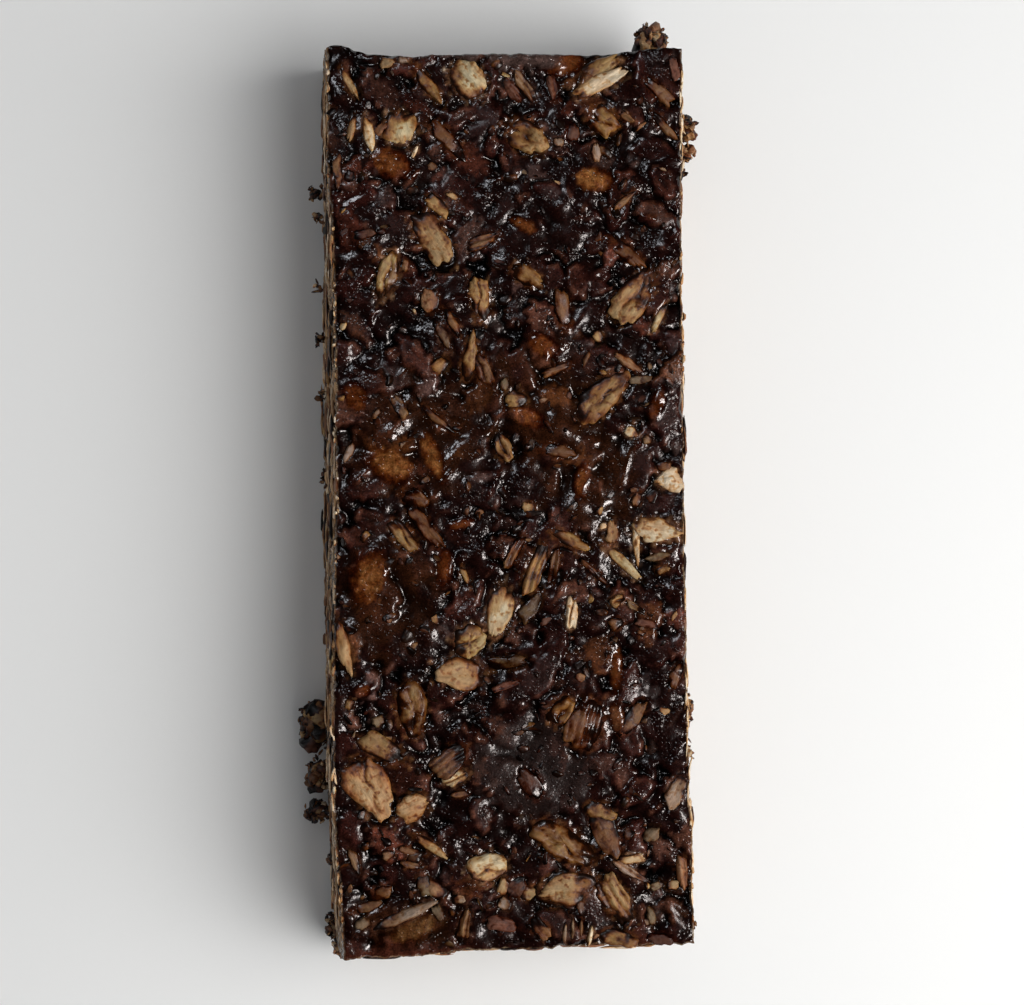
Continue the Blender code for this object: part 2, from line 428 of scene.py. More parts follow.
def coloured(tree, value, stops):
    """The colour of a ramp at a value."""
    node = add_node(tree, "ShaderNodeValToRGB", {"Fac": value})
    set_ramp(node, stops)
    return node.outputs["Color"]


def scaled(tree, colour, factor):
    """A colour made darker or lighter."""
    return add_node(tree, "ShaderNodeVectorMath", {0: colour, "Scale": factor},
                    operation="SCALE").outputs["Vector"]


def bump(tree, height, depth, strength, under=None, **properties):
    """Fine relief that is depth deep, over the relief under it."""
    values = {"Strength": strength, "Distance": depth, "Height": height}
    if under is not None:
        values["Normal"] = under
    return add_node(tree, "ShaderNodeBump", values, **properties).outputs["Normal"]


def finish_material(tree, output, values):
    """End a material with one shader."""
    shader = add_node(tree, "ShaderNodeBsdfPrincipled", values)
    tree.links.new(shader.outputs["BSDF"], output.inputs["Surface"])


# How strongly syrup and oat bend light, and how strongly they mirror it
SYRUP_IOR, SYRUP_SPECULAR = 1.48, 0.36
OAT_IOR, OAT_SPECULAR = 1.46, 0.45

# Colours across the layers at a knife cut: gap, crumb, flesh, shade, flour and flesh again
CUT_LAYERS = ((0.34, "#22130b"), (0.42, "#573c29"), (0.48, "#a9835e"), (0.54, "#6a4830"),
              (0.6, "#d8bb94"), (0.7, "#9d7752"))


def binder_material():
    """Date paste and syrup, stirred with oats and pressed.

    The eye sees a near-black brown that glints where the syrup lies thick, looks crumbly where
    fine bran stands in it, and shows pale layered oat where a knife went through.
    """
    material, tree, output = start_material("pressed_date_and_syrup")
    place = add_node(tree, "ShaderNodeTexCoord").outputs["Object"]
    tint = carried(tree, "tint", "Color")
    gloss, grain, cut = (carried(tree, layer) for layer in ("gloss", "grain", "cut"))

    # Rounded grains of bran and date about 0.4 mm across, tiny bubbles under the skin of the
    # syrup about 0.55 mm apart, and a paste that is uneven over 1.6, 0.38 and 0.24 mm
    grains = domes(tree, place, 0.42 * MM, 0.62)
    glinting_bubbles = domes(tree, place, 0.55 * MM, 0.3)
    mottle = noise(tree, place, 1 / (1.6 * MM), 4.0, 0.6)
    fine = noise(tree, place, 1 / (0.38 * MM), 2.0, 0.6)
    dusting = noise(tree, place, 1 / (0.24 * MM), 2.0, 0.6)

    # Layers at the knife cut: about 0.6 mm thick and 3 mm long
    layers = noise(tree, stretched(tree, place, (330.0, 330.0, 1650.0)), 1.0, 5.0, 0.65, 0.5)

    # Colour: the paste varies with its mottle and dust. Painted shade darkens it between its
    # grains, painted light lightens the grains' tops, and the bubble domes are painted lighter as
    # glints
    painted_hollow_shade = calculate(tree, "MULTIPLY_ADD", grain, -0.5, 1.0)
    shade = combine(
        tree, "MULTIPLY", ranged(tree, mottle, 0.3, 0.7, 0.55, 1.35),
        ranged(tree, dusting, 0.3, 0.7, 0.45, 1.5), ranged(tree, glinting_bubbles, 0.35, 0.8, 1.0, 2.4),
        ranged(tree, grains, 0.0, 1.0, painted_hollow_shade, 1.25))
    colour = add_node(tree, "ShaderNodeMix", {
        "Factor": cut, "A": scaled(tree, tint, shade), "B": coloured(tree, layers, CUT_LAYERS)},
        data_type="RGBA").outputs["Result"]
    dull = combine(tree, "ADD", ranged(tree, gloss, -1.0, 1.0, 0.4, 0.11),
                   ranged(tree, mottle, 0.35, 0.65, -0.02, 0.05))

    relief = bump(tree, grains, 0.06 * MM, grain)
    relief = bump(tree, glinting_bubbles, 0.045 * MM, 1.0, relief)
    relief = bump(tree, fine, 0.06 * MM, 0.4, relief)
    finish_material(tree, output, {
        "Base Color": colour, "Roughness": dull, "IOR": SYRUP_IOR,
        "Specular IOR Level": SYRUP_SPECULAR, "Normal": relief})
    return material


# What is left of light that passes through syrup 0, 0.4, 0.8, 1.4, 2.2 and 3.4 units thick; the
# last stop is paste that nothing shows through
SEEN_THROUGH_SYRUP = ((0.0, "#ffffff"), (0.1, "#ead0aa"), (0.2, "#c79e70"), (0.35, "#936442"),
                      (0.55, "#5b3728"), (0.85, "#33211b"))


def oat_material(name, shine, speckle):
    """Steamed and rolled oat, partly under syrup and paste.

    The eye sees pale flesh with fine fibres along the flake and brown bran specks. Where syrup
    runs over it the flesh glows amber, and where paste is smeared on it nearly nothing shows.
    """
    material, tree, output = start_material(name)
    tint, syrup = carried(tree, "tint", "Color"), carried(tree, "syrup")
    place = carried(tree, "fibre", "Vector")

    # In mm: fibres about 0.35 apart and 1.2 long, bran specks about 0.5 across, smears about 1.5
    fibres = noise(tree, stretched(tree, place, (0.8, 2.8, 1.0)), 1.0, 4.0, 0.65)
    bran = noise(tree, place, 1.5, 1.0, 0.4)
    smear = noise(tree, place, 0.55, 3.0)
    flesh = scaled(tree, tint, ranged(tree, fibres, 0.3, 0.7, 0.68, 1.24))

    # How thick the syrup is: the layer itself, uneven, with paste smears and bran on top
    layer = calculate(tree, "MULTIPLY", syrup, ranged(tree, smear, 0.3, 0.7, 0.4, 1.6))
    reach = calculate(tree, "MULTIPLY_ADD", syrup, 0.075, smear)
    thickness = combine(tree, "ADD", layer, ranged(tree, reach, 0.61, 0.86, 0.0, 2.2),
                        ranged(tree, bran, 0.55, 0.84, 0.0, 1.6 * speckle))
    seen = coloured(tree, calculate(tree, "MULTIPLY", thickness, 0.25), SEEN_THROUGH_SYRUP)
    colour = add_node(tree, "ShaderNodeVectorMath", {0: flesh, 1: seen}, operation="MULTIPLY")

    dull = ranged(tree, thickness, 0.0, 1.6, 0.66, shine)
    depth = ranged(tree, syrup, 0.0, 1.6, 0.9, 0.3)
    relief = bump(tree, fibres, 0.1 * MM, depth)
    relief = bump(tree, bran, 0.22 * MM, depth, relief, invert=True)
    finish_material(tree, output, {
        "Base Color": colour.outputs["Vector"], "Roughness": dull, "IOR": OAT_IOR,
        "Specular IOR Level": OAT_SPECULAR, "Normal": relief})
    return material


def card_material(colour):
    """Matt coated card: an even pale sheet with only a faint tooth."""
    material, tree, output = start_material("matt_coated_card")
    place = add_node(tree, "ShaderNodeTexCoord").outputs["Object"]
    tooth = bump(tree, noise(tree, place, 900.0, 3.0), 0.2 * MM, 0.05)
    finish_material(tree, output, {
        "Base Color": (*colour, 1.0), "Roughness": 0.85, "Normal": tooth})
    return material


# ---------------- top field

# A flake that shows on the top: where its middle is, its size in mm, its turn in degrees, its
# colour, how thick the syrup over it is, from which way the syrup creeps in, and its form
Flake = namedtuple("Flake", "x y length width turn tone syrup side form", defaults=(0, "flat"))

TOP_FLAKES = tuple(Flake(*row) for row in (
    (-19.8, 52.7, 4.6, 1.1, -63, "straw", 0.5, 120, "sliver"),
    (-14.9, 55.2, 2.1, 1.3, 5, "straw", 0.4, 90),
    (-12.9, 55.4, 1.4, 0.8, 0, "rose", 0.4, 90),
    (-9.9, 52.4, 6.2, 1.6, -54, "straw", 1.0, 110, "sliver"),
    (-4.8, 52.9, 5.2, 4.3, -45, "cream", 0.6, 225),
    (11.2, 54.2, 8.2, 2.2, 27, "cream", 1.2, 200, "sliver"),
    (12.1, 52.6, 7.9, 2.1, 25, "cream", 0.1, 200),
    (2.4, 52.2, 4.6, 1.8, -55, "rose", 0.8, 0, "fluted"),
    (5.9, 52.0, 3.4, 1.4, -75, "russet", 0.5, 0, "fluted"),
    (0.9, 51.6, 3.6, 1.4, -50, "russet", 0.2, 0, "fluted"),
    (19.4, 51.5, 4.6, 1.8, -45, "tan", 1.0, 170),
    (20.1, 47.2, 4.5, 1.3, -47, "tan", 0.9, 90, "sliver"),
    (21.4, 54.4, 3.2, 1.3, -80, "russet", 0.1, 90),
    (-19.5, 47.0, 3.5, 1.0, 75, "straw", 0.3, 90, "sliver"),
    (-17.4, 46.2, 4.9, 1.4, -82, "cream", 0.3, 90, "sliver"),
    (-13.5, 46.9, 4.5, 4.1, -80, "cream", 0.7, 120),
    (-14.2, 42.2, 6.0, 3.7, -28, "tan", 1.4, 330),
    (-7.3, 45.3, 6.2, 2.1, -50, "tan", 1.2, 20),
    (-21.3, 41.4, 4.6, 1.2, -86, "tan", 0.8),
    (2.4, 46.1, 5.7, 4.2, -42, "straw", 0.7, 120, "shell"),
    (8.3, 46.4, 2.4, 1.8, 80, "russet", 0.9, 180),
    (12.1, 47.9, 4.8, 3.5, -40, "straw", 1.0, 150, "crease"),
    (15.2, 48.2, 2.4, 0.9, -30, "tan", 1.0, 180, "sliver"),
    (11.3, 43.9, 2.5, 1.2, 88, "rose", 0.4, 180),
    (6.5, 45.0, 1.5, 1.2, -20, "rose", 0.5, 200),
    (11.4, 40.3, 5.6, 3.3, -10, "straw", 1.4),
    (-11.6, 44.0, 1.7, 0.6, 65, "cream", 0.0, 0, "sliver"),
    (-18.1, 33.6, 3.0, 1.3, 10, "russet", 0.8, 180),
    (-15.3, 28.4, 6.6, 2.7, 72, "cream", 1.0, 330, "crease"),
    (-9.6, 33.1, 7.4, 3.7, -54, "straw", 0.5, 130),
    (-13.0, 29.7, 1.7, 0.9, 80, "tan", 0.4),
    (-8.9, 37.2, 3.8, 1.8, -45, "straw", 0.8, 60),
    (-6.9, 38.3, 1.6, 0.8, -35, "straw", 0.3),
    (-3.4, 32.7, 4.4, 1.6, 20, "tan", 0.7, 120, "fluted"),
    (-3.6, 25.1, 5.9, 2.7, -86, "straw", 0.8, 270, "crease"),
    (-10.0, 25.2, 3.3, 2.3, 88, "tan", 0.5),
    (-7.2, 22.3, 4.1, 1.2, -60, "tan", 0.8, 200, "sliver"),
    (-8.4, 20.6, 4.2, 1.3, -60, "rose", 1.1, 200, "sliver"),
    (-5.1, 18.0, 6.2, 1.8, 80, "straw", 0.9, 200, "sliver"),
    (1.9, 34.8, 4.4, 1.7, -30, "tan", 1.3, 90),
    (2.2, 28.2, 4.6, 2.2, -35, "straw", 1.2, 200),
    (6.9, 23.7, 5.2, 2.3, -80, "tan", 1.1, 300),
    (14.9, 31.2, 6.2, 1.8, -38, "tan", 1.2, 120),
    (15.0, 37.8, 4.2, 0.9, 40, "tan", 0.7, 60, "sliver"),
    (15.9, 25.7, 8.2, 3.9, 52, "straw", 0.6, 60, "shell"),
    (19.1, 22.8, 4.2, 1.1, 65, "cream", 0.7, 0, "sliver"),
    (4.4, 19.4, 4.6, 3.0, -35, "tan", 1.7, 30),
    (11.3, 20.5, 1.6, 1.3, -50, "straw", 0.8),
    (-19.6, 13.6, 4.6, 3.2, -70, "tan", 1.9, 90),
    (-14.1, 12.0, 3.4, 1.7, -60, "rose", 1.1, 180),
    (-15.4, 4.4, 6.8, 4.3, -28, "straw", 1.5, 240),
    (-9.1, 10.1, 5.6, 1.0, -40, "tan", 1.1, 0, "sliver"),
    (-9.8, 5.3, 7.2, 2.4, -68, "straw", 1.6),
    (-8.7, 17.1, 2.4, 2.0, 30, "straw", 1.0),
    (-3.4, 16.4, 4.2, 2.0, -68, "tan", 0.7, 200, "crease"),
    (-0.7, 14.6, 1.8, 1.2, 80, "khaki", 0.3),
    (-1.0, 6.7, 3.9, 2.2, -62, "straw", 0.6, 180, "shell"),
    (-20.4, 6.3, 2.6, 1.1, 60, "rose", 0.3),
    (-12.2, 0.3, 3.4, 2.4, -30, "tan", 1.2, 200),
    (0.8, 12.6, 2.9, 2.4, -10, "straw", 0.9),
    (2.4, 10.3, 4.6, 2.4, -25, "tan", 1.5),
    (6.0, 16.4, 4.4, 1.1, 22, "tan", 1.1, 0, "sliver"),
    (11.6, 12.9, 8.2, 3.9, 43, "straw", 0.75, 140, "crease"),
    (15.4, 8.3, 1.9, 1.3, -25, "cream", 0.3),
    (17.4, 7.3, 1.4, 1.2, 0, "rose", 0.9),
    (16.6, 15.0, 3.0, 1.1, 5, "khaki", 0.1),
    (15.2, 17.0, 4.4, 1.2, -36, "tan", 0.6, 0, "sliver"),
    (18.8, 12.0, 5.2, 2.1, 70, "tan", 2.4),
    (5.6, 6.1, 4.5, 1.8, -8, "tan", 1.1, 180),
    (8.8, 2.2, 5.2, 2.2, 80, "tan", 1.5, 180),
    (20.0, 2.2, 3.8, 3.0, 185, "cream", 0.0, 0, "pointed"),
    (19.3, 3.9, 2.2, 1.3, 0, "tan", 0.8, 180),
    (15.9, -0.2, 2.2, 1.2, 70, "tan", 1.0),
    (-18.3, -9.2, 7.6, 4.8, 78, "straw", 1.7, 150),
    (-13.8, -4.3, 4.7, 2.3, -52, "straw", 0.8, 60, "crease"),
    (-11.1, -3.2, 7.2, 1.9, -53, "tan", 1.2, 200),
    (-6.4, -2.9, 3.6, 1.6, 10, "tan", 2.0, 90),
    (-8.5, -8.4, 5.0, 2.6, 85, "tan", 2.0),
    (-6.0, -9.6, 3.0, 0.8, -66, "straw", 0.9, 0, "sliver"),
    (-1.9, -14.2, 7.4, 3.3, -102, "cream", 0.4, 125, "pointed"),
    (-5.7, -17.8, 4.4, 4.0, 30, "cream", 0.9, 150, "crease"),
    (-21.5, -18.2, 7.2, 1.7, -77, "straw", 0.4, 90, "sliver"),
    (2.2, -1.0, 1.7, 1.4, 0, "straw", 0.6),
    (0.2, -6.6, 4.6, 1.5, 62, "tan", 1.0, 0, "fluted"),
    (2.9, -8.6, 7.4, 2.2, 68, "straw", 0.9, 100, "fluted"),
    (5.1, -8.6, 4.4, 1.5, 76, "tan", 1.0, 180, "fluted"),
    (7.2, -5.2, 5.6, 1.8, -27, "straw", 1.0, 180, "sliver"),
    (12.7, -4.3, 3.2, 1.5, 85, "straw", 0.3),
    (11.5, -3.5, 0.9, 0.8, 0, "cream", 0.0),
    (13.7, -7.8, 7.4, 1.6, -45, "cream", 0.7, 150, "sliver"),
    (18.4, -4.2, 6.6, 3.3, -8, "cream", 0.25, 80, "pointed"),
    (15.8, -5.8, 5.4, 1.0, -87, "cream", 0.1, 0, "sliver"),
    (10.5, -9.5, 5.0, 0.9, -42, "tan", 1.1, 0, "sliver"),
    (18.7, -7.5, 3.4, 1.1, 15, "khaki", 0.5, 0, "sliver"),
    (19.0, -9.2, 1.8, 1.0, 10, "straw", 0.9, 180),
    (7.3, -14.4, 4.0, 1.6, 82, "cream", 0.0, 0, "crease"),
    (2.4, -13.4, 5.0, 2.0, 52, "khaki", 1.2, 30),
    (13.2, -12.9, 2.2, 1.4, 30, "straw", 0.5, 0, "shell"),
    (15.7, -14.0, 3.0, 1.0, -30, "rose", 1.0, 0, "fluted"),
    (17.0, -16.0, 3.0, 1.1, -12, "russet", 0.2),
    (13.0, -15.9, 1.9, 1.6, 20, "tan", 1.1),
    (12.9, -21.8, 7.2, 1.9, 86, "tan", 1.7, 180),
    (-0.9, -20.6, 5.0, 2.0, 8, "khaki", 1.1, 270),
    (-6.9, -21.8, 6.8, 3.6, -5, "straw", 0.35, 30),
    (-13.1, -26.3, 6.8, 4.0, -82, "straw", 1.1, 200, "crease"),
    (-1.3, -23.5, 3.8, 1.0, 20, "russet", 0.1, 0, "fluted"),
    (-18.8, -23.6, 2.8, 1.8, 20, "tan", 2.3),
    (-20.8, -25.4, 1.5, 1.2, 80, "straw", 0.9),
    (-17.2, -27.6, 1.9, 1.3, 15, "khaki", 0.2),
    (-16.7, -31.1, 6.9, 2.8, -33, "straw", 0.9, 300),
    (-18.5, -36.0, 8.8, 4.6, -62, "straw", 0.2, 120, "crease"),
    (-13.0, -38.5, 4.3, 3.6, 20, "straw", 0.1, 300, "pointed"),
    (-8.3, -32.8, 5.6, 3.2, 35, "tan", 0.8, 20, "fluted"),
    (-7.6, -34.9, 3.6, 2.0, 20, "cream", 0.5, 0, "crease"),
    (-7.0, -37.0, 2.2, 0.9, 5, "tan", 0.8),
    (5.8, -26.8, 4.2, 2.8, 60, "straw", 1.0, 150, "shell"),
    (9.0, -28.6, 7.2, 4.3, 72, "tan", 1.2, 0, "fluted"),
    (12.9, -27.4, 4.8, 2.2, -70, "rose", 1.9, 100),
    (14.9, -28.0, 5.2, 1.9, 54, "tan", 0.8, 200),
    (20.7, -22.4, 3.6, 1.4, 62, "tan", 1.1),
    (20.3, -37.3, 4.6, 2.4, 60, "rose", 0.6, 60),
    (2.0, -36.0, 4.2, 2.6, -60, "russet", 1.2),
    (10.6, -39.6, 4.0, 2.2, -20, "straw", 0.9, 120),
    (-20.5, -45.2, 3.4, 1.2, -70, "rose", 1.0, 0, "sliver"),
    (-10.9, -43.5, 5.6, 1.2, -35, "straw", 0.6, 120, "sliver"),
    (-13.3, -44.1, 3.5, 1.0, -15, "tan", 0.8, 0, "sliver"),
    (-13.3, -45.8, 3.1, 1.1, -15, "tan", 1.0, 0, "sliver"),
    (-16.2, -44.4, 1.9, 1.0, 25, "tan", 0.5),
    (-3.7, -46.4, 5.0, 3.8, 12, "cream", 0.5, 270, "crease"),
    (-11.8, -48.3, 3.4, 1.8, -75, "khaki", 0.6, 90),
    (-10.3, -49.0, 3.4, 1.9, -30, "tan", 0.6),
    (-7.5, -50.2, 1.6, 1.4, 0, "rose", 0.6, 180),
    (-17.4, -49.3, 3.4, 1.9, 20, "tan", 1.0, 150),
    (-19.1, -51.0, 4.4, 1.3, 14, "tan", 1.0, 180),
    (-19.6, -53.0, 1.9, 1.4, 30, "khaki", 0.1),
    (-14.1, -54.1, 8.6, 3.2, 20, "khaki", 1.3, 200),
    (-14.4, -52.1, 8.4, 1.7, 22, "rose", 0.6, 170, "sliver"),
    (-10.0, -52.0, 2.4, 1.2, -55, "khaki", 0.3),
    (-6.9, -53.6, 4.6, 1.6, 78, "rose", 1.1, 180, "fluted"),
    (-1.6, -51.1, 1.9, 1.6, -20, "rose", 0.4),
    (-1.8, -48.8, 2.4, 1.4, 78, "straw", 0.5),
    (-2.1, -53.6, 3.9, 2.0, -8, "russet", 0.1),
    (-0.3, -48.9, 3.6, 2.4, 30, "russet", 0.9, 120),
    (6.0, -43.5, 8.8, 4.2, -33, "straw", 1.1, 50, "crease"),
    (11.3, -42.3, 6.8, 3.0, -66, "tan", 0.9, 60),
    (6.2, -49.3, 7.8, 4.2, 190, "straw", 0.5, -30, "pointed"),
    (12.3, -50.8, 7.0, 3.4, -58, "straw", 0.7, 240, "fluted"),
    (14.5, -45.7, 3.4, 1.3, 8, "cream", 0.4, 180),
    (14.3, -47.3, 4.6, 1.2, -32, "rose", 0.3, 0, "fluted"),
    (17.3, -42.7, 2.2, 2.0, 40, "khaki", 0.0, 0, "pointed"),
    (17.8, -49.3, 1.9, 1.1, 5, "khaki", 0.3),
    (19.8, -49.3, 1.7, 1.3, 10, "straw", 0.5, 180),
    (17.0, -53.2, 2.5, 1.2, -80, "khaki", 0.3),
    (2.8, -54.2, 3.2, 2.0, -50, "tan", 0.9, 120),
    (12.7, -55.8, 4.9, 2.3, -15, "straw", 0.9, 90),
    (18.0, -56.0, 3.6, 1.6, -10, "russet", 1.2, 90),
    (21.0, -47.6, 4.6, 1.4, -86, "tan", 0.2, 0, "fluted"),
    (1.2, -49.8, 2.2, 1.9, 10, "straw", 0.7, 180),
    (7.4, 54.7, 5.4, 3.4, 20, "tan", 1.6, 270),
    (5.8, -54.9, 2.8, 0.6, 84, "rose", 0.7, 180, "sliver"),
    (6.8, -54.3, 2.6, 0.5, 88, "rose", 0.8, 180, "sliver"),
    (7.9, -54.3, 2.4, 0.6, 86, "tan", 0.8, 180, "sliver"),
    (9.1, -55.3, 2.4, 0.7, 80, "cream", 0.2, 180, "sliver"),
))

# The rectangle that holds the whole bar, and the step between samples on top and below, in mm
FIELD_LOW, FIELD_HIGH = (-26.0, -62.0), (26.0, 62.0)
TOP_STEP, BASE_STEP = 0.14, 0.3

# A flake under at least this much syrup is only a glow in it
BURIED = 1.3

# Where syrup has pooled smooth: middle across and along, half width and half length in mm
SYRUP_POOLS = (
    (-12.0, 8.0, 9.0, 8.0), (3.0, 12.0, 9.0, 8.0),
    (-16.0, -12.0, 6.0, 8.0), (10.0, 3.0, 6.0, 7.0), (-14.0, -54.0, 6.0, 3.5),
)

# The deepest gaps in the top, dug and darkened with painted shade: where they are and how far they
# reach, in mm
CREVICES = (
    (-19.0, 53.5, 1.5), (-12.0, 52.5, 1.2), (7.7, 51.0, 1.4), (-4.0, 29.5, 2.6), (9.0, -5.0, 1.6),
    (17.0, -48.0, 1.8), (-18.0, -47.0, 2.2), (18.5, -35.0, 1.6), (-15.0, -22.0, 1.6),
    (-12.5, -44.0, 1.7), (3.5, -17.5, 1.4), (-17.0, -20.5, 1.2), (13.8, -19.5, 1.3),
)

# Upturned flake edges that catch the light: from and to, across and along, in mm
CRESTS = (
    (-15.5, 8.5, -13.0, 11.0), (-20.0, 2.0, -18.0, 4.0), (-14.5, 1.0, -13.0, 2.5),
    (-9.0, 2.0, -7.3, 4.0), (-3.1, 0.3, -1.4, 4.0), (-3.0, 8.0, -0.6, 12.0),
    (13.8, 1.0, 15.0, 6.0), (4.8, 23.0, 6.7, 26.5), (-7.8, -13.0, -6.5, -7.5),
    (-3.5, -10.0, -2.0, -7.0), (-3.0, -5.5, -1.5, -2.0),
    (-4.5, -31.0, -3.0, -28.5), (-20.0, -48.0, -17.5, -46.0), (8.5, -31.5, 9.5, -27.5),
)

# A matt patch where bran lies in the paste: middle across and along, half width and half length
MATT_PATCH = (2.5, -33.5, 7.5, 6.5)

# The back left corner, which is dry crumb, told the same way
CRUMBLY_CORNER = (-20.6, 59.2, 3.4, 1.8)

# How strongly syrup takes red, green and blue out of what lies under it
SYRUP_ABSORBS = np.array((1.0, 1.4, 1.72))

# How an oat's colour changes once syrup has soaked right through it, and where it is only damp
SOAKED = np.array((1.0, 0.86, 0.62))
DAMP = np.array((0.66, 0.68, 0.5))

# How toasting darkens an oat where it went furthest
TOASTED = np.array((0.62, 0.49, 0.38))


def under_syrup(colour, thickness):
    """The colour of something pale seen through syrup."""
    return colour * np.exp(-np.asarray(thickness)[..., None] * SYRUP_ABSORBS)


def oval_reach(dice, along, across, length, width):
    """How far out each place is in a ragged oval: 0 at its middle and 1 at its rim."""
    angle = np.arctan2(across / width, along / length)
    wobble = np.ones_like(angle)
    for lobes in (2, 3, 5):
        size = dice.uniform(0.0, 0.1) / math.sqrt(lobes)
        wobble += size * np.cos(lobes * angle + any_angle(dice))
    return np.hypot(2 * along / length, 2 * across / width) / wobble


# How often a coated flake glows mid, warm, russet or umber, away from and in a pool of syrup
DRY_SHARES = np.array((0.34, 0.16, 0.28, 0.22))
WET_SHARES = np.array((0.22, 0.6, 0.14, 0.04))


def lay_coated_flakes(field, dice, sizes, crust, pooled):
    """Press flakes that are wholly under the binder into the field, one over another."""
    ground = field.height.copy()
    glows = np.array([crust.mid, crust.warm, crust.russet, crust.umber])
    ragged = field.noise(1.6, 18)
    for _ in range(crust.coated_flakes):
        x = dice.uniform(sizes.left, sizes.right) / MM
        y = dice.uniform(sizes.front, sizes.back) / MM
        length = dice.triangular(2.6, 5.5, 9.0)
        width = length * dice.uniform(0.42, 0.7)
        window, along, across = field.near(x, y, dice.uniform(0, math.pi), length * 0.62)
        reach = oval_reach(dice, along, across, length, width) + 0.09 * ragged[window]
        lift = dice.uniform(-0.2, 0.36)
        plate = field.read(ground, x, y) + lift
        plate = plate + dice.normal(0, 0.05) * along + dice.normal(0, 0.075) * across
        plate -= 0.16 * reach**6
        if dice.random() < 0.35:
            plate -= 0.2 * hump(across, 0.0, 0.3) * ramp(length / 2, 0.0, np.abs(along))
        covers = (reach < 1.0) & (plate > field.height[window])
        field.height[window][covers] = plate[covers]
        lean = toward(along, across, dice.uniform(0, 2 * math.pi)) * 2 / length
        wet = float(field.read(pooled, x, y))
        shows = mix(0.8, 0.9, wet) * dice.random() ** mix(2.6, 1.3, wet)
        shows = shows * ramp(1.02, 0.3, reach + 0.35 * lean + 0.12 * ragged[window])
        kinds = mix(DRY_SHARES, WET_SHARES, wet)
        glow = glows[dice.choice(4, p=kinds)] * dice.uniform(0.5, 1.25)
        base = np.array(crust.dark) * dice.uniform(0.6, 1.4)
        colour = mix(base, glow, shows[..., None])
        field.tint[window][covers] = colour[covers]
        field.gloss[window][covers] = dice.triangular(-0.4, 0.75, 0.95)
    return ground


def local_top(height, reach):
    """The highest value within a few samples of each place."""
    top = height.copy()
    for rows in range(-reach, reach + 1):
        span = int(math.sqrt(reach**2 - rows**2))
        for columns in range(-span, span + 1):
            top = np.maximum(top, np.roll(height, (rows, columns), axis=(0, 1)))
    return top


def dig_and_shade_crevices(field):
    """Open gaps under the edges of flakes that bridge over others, deeper at a few places, and
    darken them with painted shade.
    """
    above = local_top(field.height, 3) - field.height
    gap = ramp(0.1, 0.4, above) * ramp(-0.9, 0.7, field.noise(5.0, 62))
    for x, y, length in CREVICES:
        window, along, across = field.near(x, y, 0.0, length)
        reach = np.hypot(along, across) / length + 0.16 * field.noise(1.8, 65)[window]
        gap[window] = np.maximum(gap[window], 2.0 * ramp(0.62, 0.3, reach))
    gap = blur(gap, 0.1 / field.step)
    field.height -= 0.42 * gap
    # Painted shade: the colour is darkened in the gaps
    field.tint *= (1.0 - 0.85 * np.clip(gap, 0.0, 1.0))[..., None]


def raise_crest(field, x, y, turn, length, bend, height):
    """Raise one thin curved edge."""
    window, along, across = field.near(x, y, turn, length)
    line = across - bend * along**2
    edge = height * hump(line, 0.0, 0.24) * ramp(length / 2, length / 5, np.abs(along))
    field.height[window] += edge
    field.gloss[window] = np.maximum(field.gloss[window], ramp(0.05, 0.2, edge))


def raise_crests(field, dice, sizes, crust):
    """Raise the thin curved edges of upturned flakes."""
    for _ in range(crust.crests):
        x = dice.uniform(sizes.left + 1 * MM, sizes.right - 1 * MM) / MM
        y = dice.uniform(sizes.front + 1 * MM, sizes.back - 1 * MM) / MM
        raise_crest(field, x, y, dice.uniform(0, math.pi), dice.uniform(1.4, 4.5),
                    dice.normal(0, 0.12), dice.uniform(0.25, 0.6))
    for x, y, end_x, end_y in CRESTS:
        length = 1.4 * math.hypot(end_x - x, end_y - y)
        raise_crest(field, (x + end_x) / 2, (y + end_y) / 2, math.atan2(end_y - y, end_x - x),
                    length, dice.normal(0, 0.05), 0.5)


def dome_height(width):
    """How far a flake's middle swells above its flat skin, in mm."""
    return 0.07 * min(width, 4.2)


def round_flake(field, flake, margin=0.0):
    """The samples round a flake: where they lie across it, how far out, and how far syrup-ward."""
    turn = math.radians(flake.turn)
    window, along, across = field.near(flake.x, flake.y, turn, flake.length * 0.8)
    reach = np.hypot(2 * along / (flake.length + margin), 2 * across / (flake.width + margin))
    lean = toward(along, across, math.radians(flake.side - flake.turn)) * 2 / flake.length
    return window, across, reach, lean


